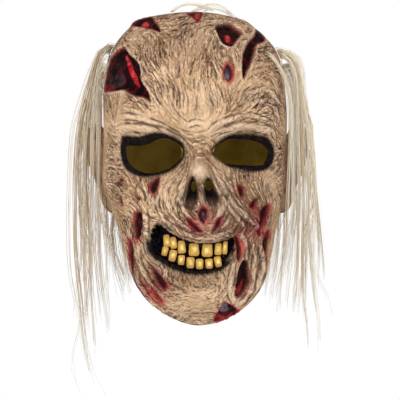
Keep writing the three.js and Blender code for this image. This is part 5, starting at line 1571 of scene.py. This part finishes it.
# the one lock that falls in front of the right temple
front_wisps = [
    ([
        (67, 42.8), (71.7, 46.1), (77.9, 54.1), (82.6, 62.2), (86, 72.2), (87.9, 87.4), (88.3, 107.3),
        (87.9, 131.1), (86.5, 169.1), (84.5, 207.1), (82.6, 249.8),
    ], 14, -59, -52),
]

left_strands = [(*lock_strands(left_locks, 4, 7, 41), 61), (*drawn_strands(left_wisps, -1, 44), 62)]
left_weft = left_front_weft + [lock[:2] for lock in left_locks]
hair_piece("left_hair", left_weft, left_strands, "hair_left")
right_strands = [
    (*lock_strands(right_locks, 5, 9, 42), 63),
    (*drawn_strands(right_wisps, 1, 45), 64),
    (*drawn_strands(front_wisps, 1, 46), 65),
]
right_weft = right_front_weft + [lock[:2] for lock in right_locks]
hair_piece("right_hair", right_weft, right_strands, "hair_right")
behind = [(219, *left_locks[-1][1:]), *back_locks[::-1], right_locks[-1]]
back_weft = [lock[:2] for lock in back_locks]
hair_piece("back_hair", back_weft, [(*lock_strands(behind, 9, 13, 43), 66)], "hair_back")

# The wisp on the crown: a few strands loop over it from the left, and some end above the right temple.
# Each wisp is given by its points and how many strands it has.
wisps = [
    ([
        (-24.7, 0), (-19.9, -4.8), (-12.3, -7.8), (-2.8, -8.4), (5.7, -6.5), (11.4, -3.8), (16.1, 0),
    ], 5),
    ([
        (-22.8, 0.5), (-14.2, -5.2), (-4.8, -6.6), (5.7, -3.8), (14.2, -0.5),
    ], 4),
    ([
        (-3.8, 0), (1.9, -3.3), (8.5, -6.2), (15.2, -7.4), (21.8, -6.5), (28.5, -2.4), (33.2, 3.3),
        (37, 8.1),
    ], 6),
    ([
        (-4.8, 0.5), (2.8, -2.4), (10.4, -4.6), (18.1, -5.5), (25.6, -2.8), (32.3, 2.4), (38.9, 8.4),
    ], 5),
    ([
        (6.6, -0.5), (13.3, -3.3), (20.9, -2.4), (29.4, 1.9), (36.1, 6.6),
    ], 4),
]
crown_paths, crown_tones = [], []
crown_thickness = 0.62
soften = np.array([0.25, 0.5, 0.25])
rng = np.random.default_rng(51)
for points_over, count in wisps:
    guide = np.array(points_over)
    t = np.linspace(0, 1, len(guide))
    s = np.linspace(0, 1, 14)
    across = np.interp(s, t, guide[:, 0])
    height = np.interp(s, t, wall - guide[:, 1])
    across[1:-1] = np.convolve(across, soften, "valid")
    height[1:-1] = np.convolve(height, soften, "valid")
    for _ in range(count):
        jitter = rng.normal(0, 1, 3)
        swell = np.sin(math.pi * s)
        forward = -6 - 5 * s + jitter[0] * 2.5 + 2 * swell * jitter[1]
        lifted = height + 0.6 * swell * jitter[1]
        crown_paths.append(np.stack([across + 0.8 * jitter[2], forward, lifted], -1))
        crown_tones.append(rng.uniform(0.4, 1))
widths = np.full(len(crown_paths), crown_thickness)
corners, faces, tone_values, along_values = tubes(np.array(crown_paths), widths, np.array(crown_tones))
crown_hair = new_piece("crown_hair", corners, faces, [strand_colour.material])
give(crown_hair, "tone", tone_values)
give(crown_hair, "along", along_values)
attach(crown_hair, "root")
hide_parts("hair_crown")

# THE STUDIO
# The mask is shown as a head holds it up, before a plain white ground and over a pale floor, in soft
# light from large lamps at the front. The camera looks straight at its face.
floor_radius, floor_height, floor_sides = 1.25, -0.44, 64
floor_mesh = bpy.data.meshes.new("pale_floor")
ring = [
    (floor_radius * math.cos(a), floor_radius * math.sin(a), floor_height)
    for a in np.linspace(0, 2 * math.pi, floor_sides + 1)[:-1]
]
floor_mesh.from_pydata(ring, [], [list(range(floor_sides))])
ground = Finish("pale floor paint", roughness=0.8)
ground_cloud = ground.noise(3, 2)
ground.set(Base_Color=ground.blend(ground_cloud, (0.86, 0.86, 0.85), (0.9, 0.9, 0.89)))
floor_mesh.materials.append(ground.material)
floor_piece = bpy.data.objects.new("pale_floor", floor_mesh)
bpy.context.scene.collection.objects.link(floor_piece)

world = bpy.data.worlds.new("white room")
world.use_nodes = True
background = world.node_tree.nodes["Background"]
background.inputs["Color"].default_value = (1, 1, 1, 1)
background.inputs["Strength"].default_value = 1.0
bpy.context.scene.world = world
bpy.context.scene.view_settings.view_transform = "Standard"

for name, place, power, size in (
    ("key_lamp", (-0.6, -1.5, 1.0), 9, 0.7),
    ("fill_lamp", (1.0, -1.5, 0.1), 2.5, 1.1),
):
    lamp = bpy.data.lights.new(name, "AREA")
    lamp.energy = power
    lamp.size = size
    placed = bpy.data.objects.new(name, lamp)
    placed.location = place
    aim = np.array([0, 0, -0.15]) - place
    yaw = math.atan2(aim[0], -aim[1])
    tilt = math.acos(-aim[2] / np.linalg.norm(aim))
    placed.rotation_euler = (tilt, 0, yaw + math.pi)
    bpy.context.scene.collection.objects.link(placed)

camera = bpy.data.cameras.new("front_camera")
camera_distance, view_breadth, sensor = 4.5, 0.38, 36
camera.sensor_width = sensor
camera.lens = sensor * camera_distance / view_breadth
camera.clip_end = 50
front_camera = bpy.data.objects.new("front_camera", camera)
front_camera.location = (0.00285, -camera_distance, -0.1766)
front_camera.rotation_euler = (math.radians(90), 0, 0)
bpy.context.scene.collection.objects.link(front_camera)
bpy.context.scene.camera = front_camera
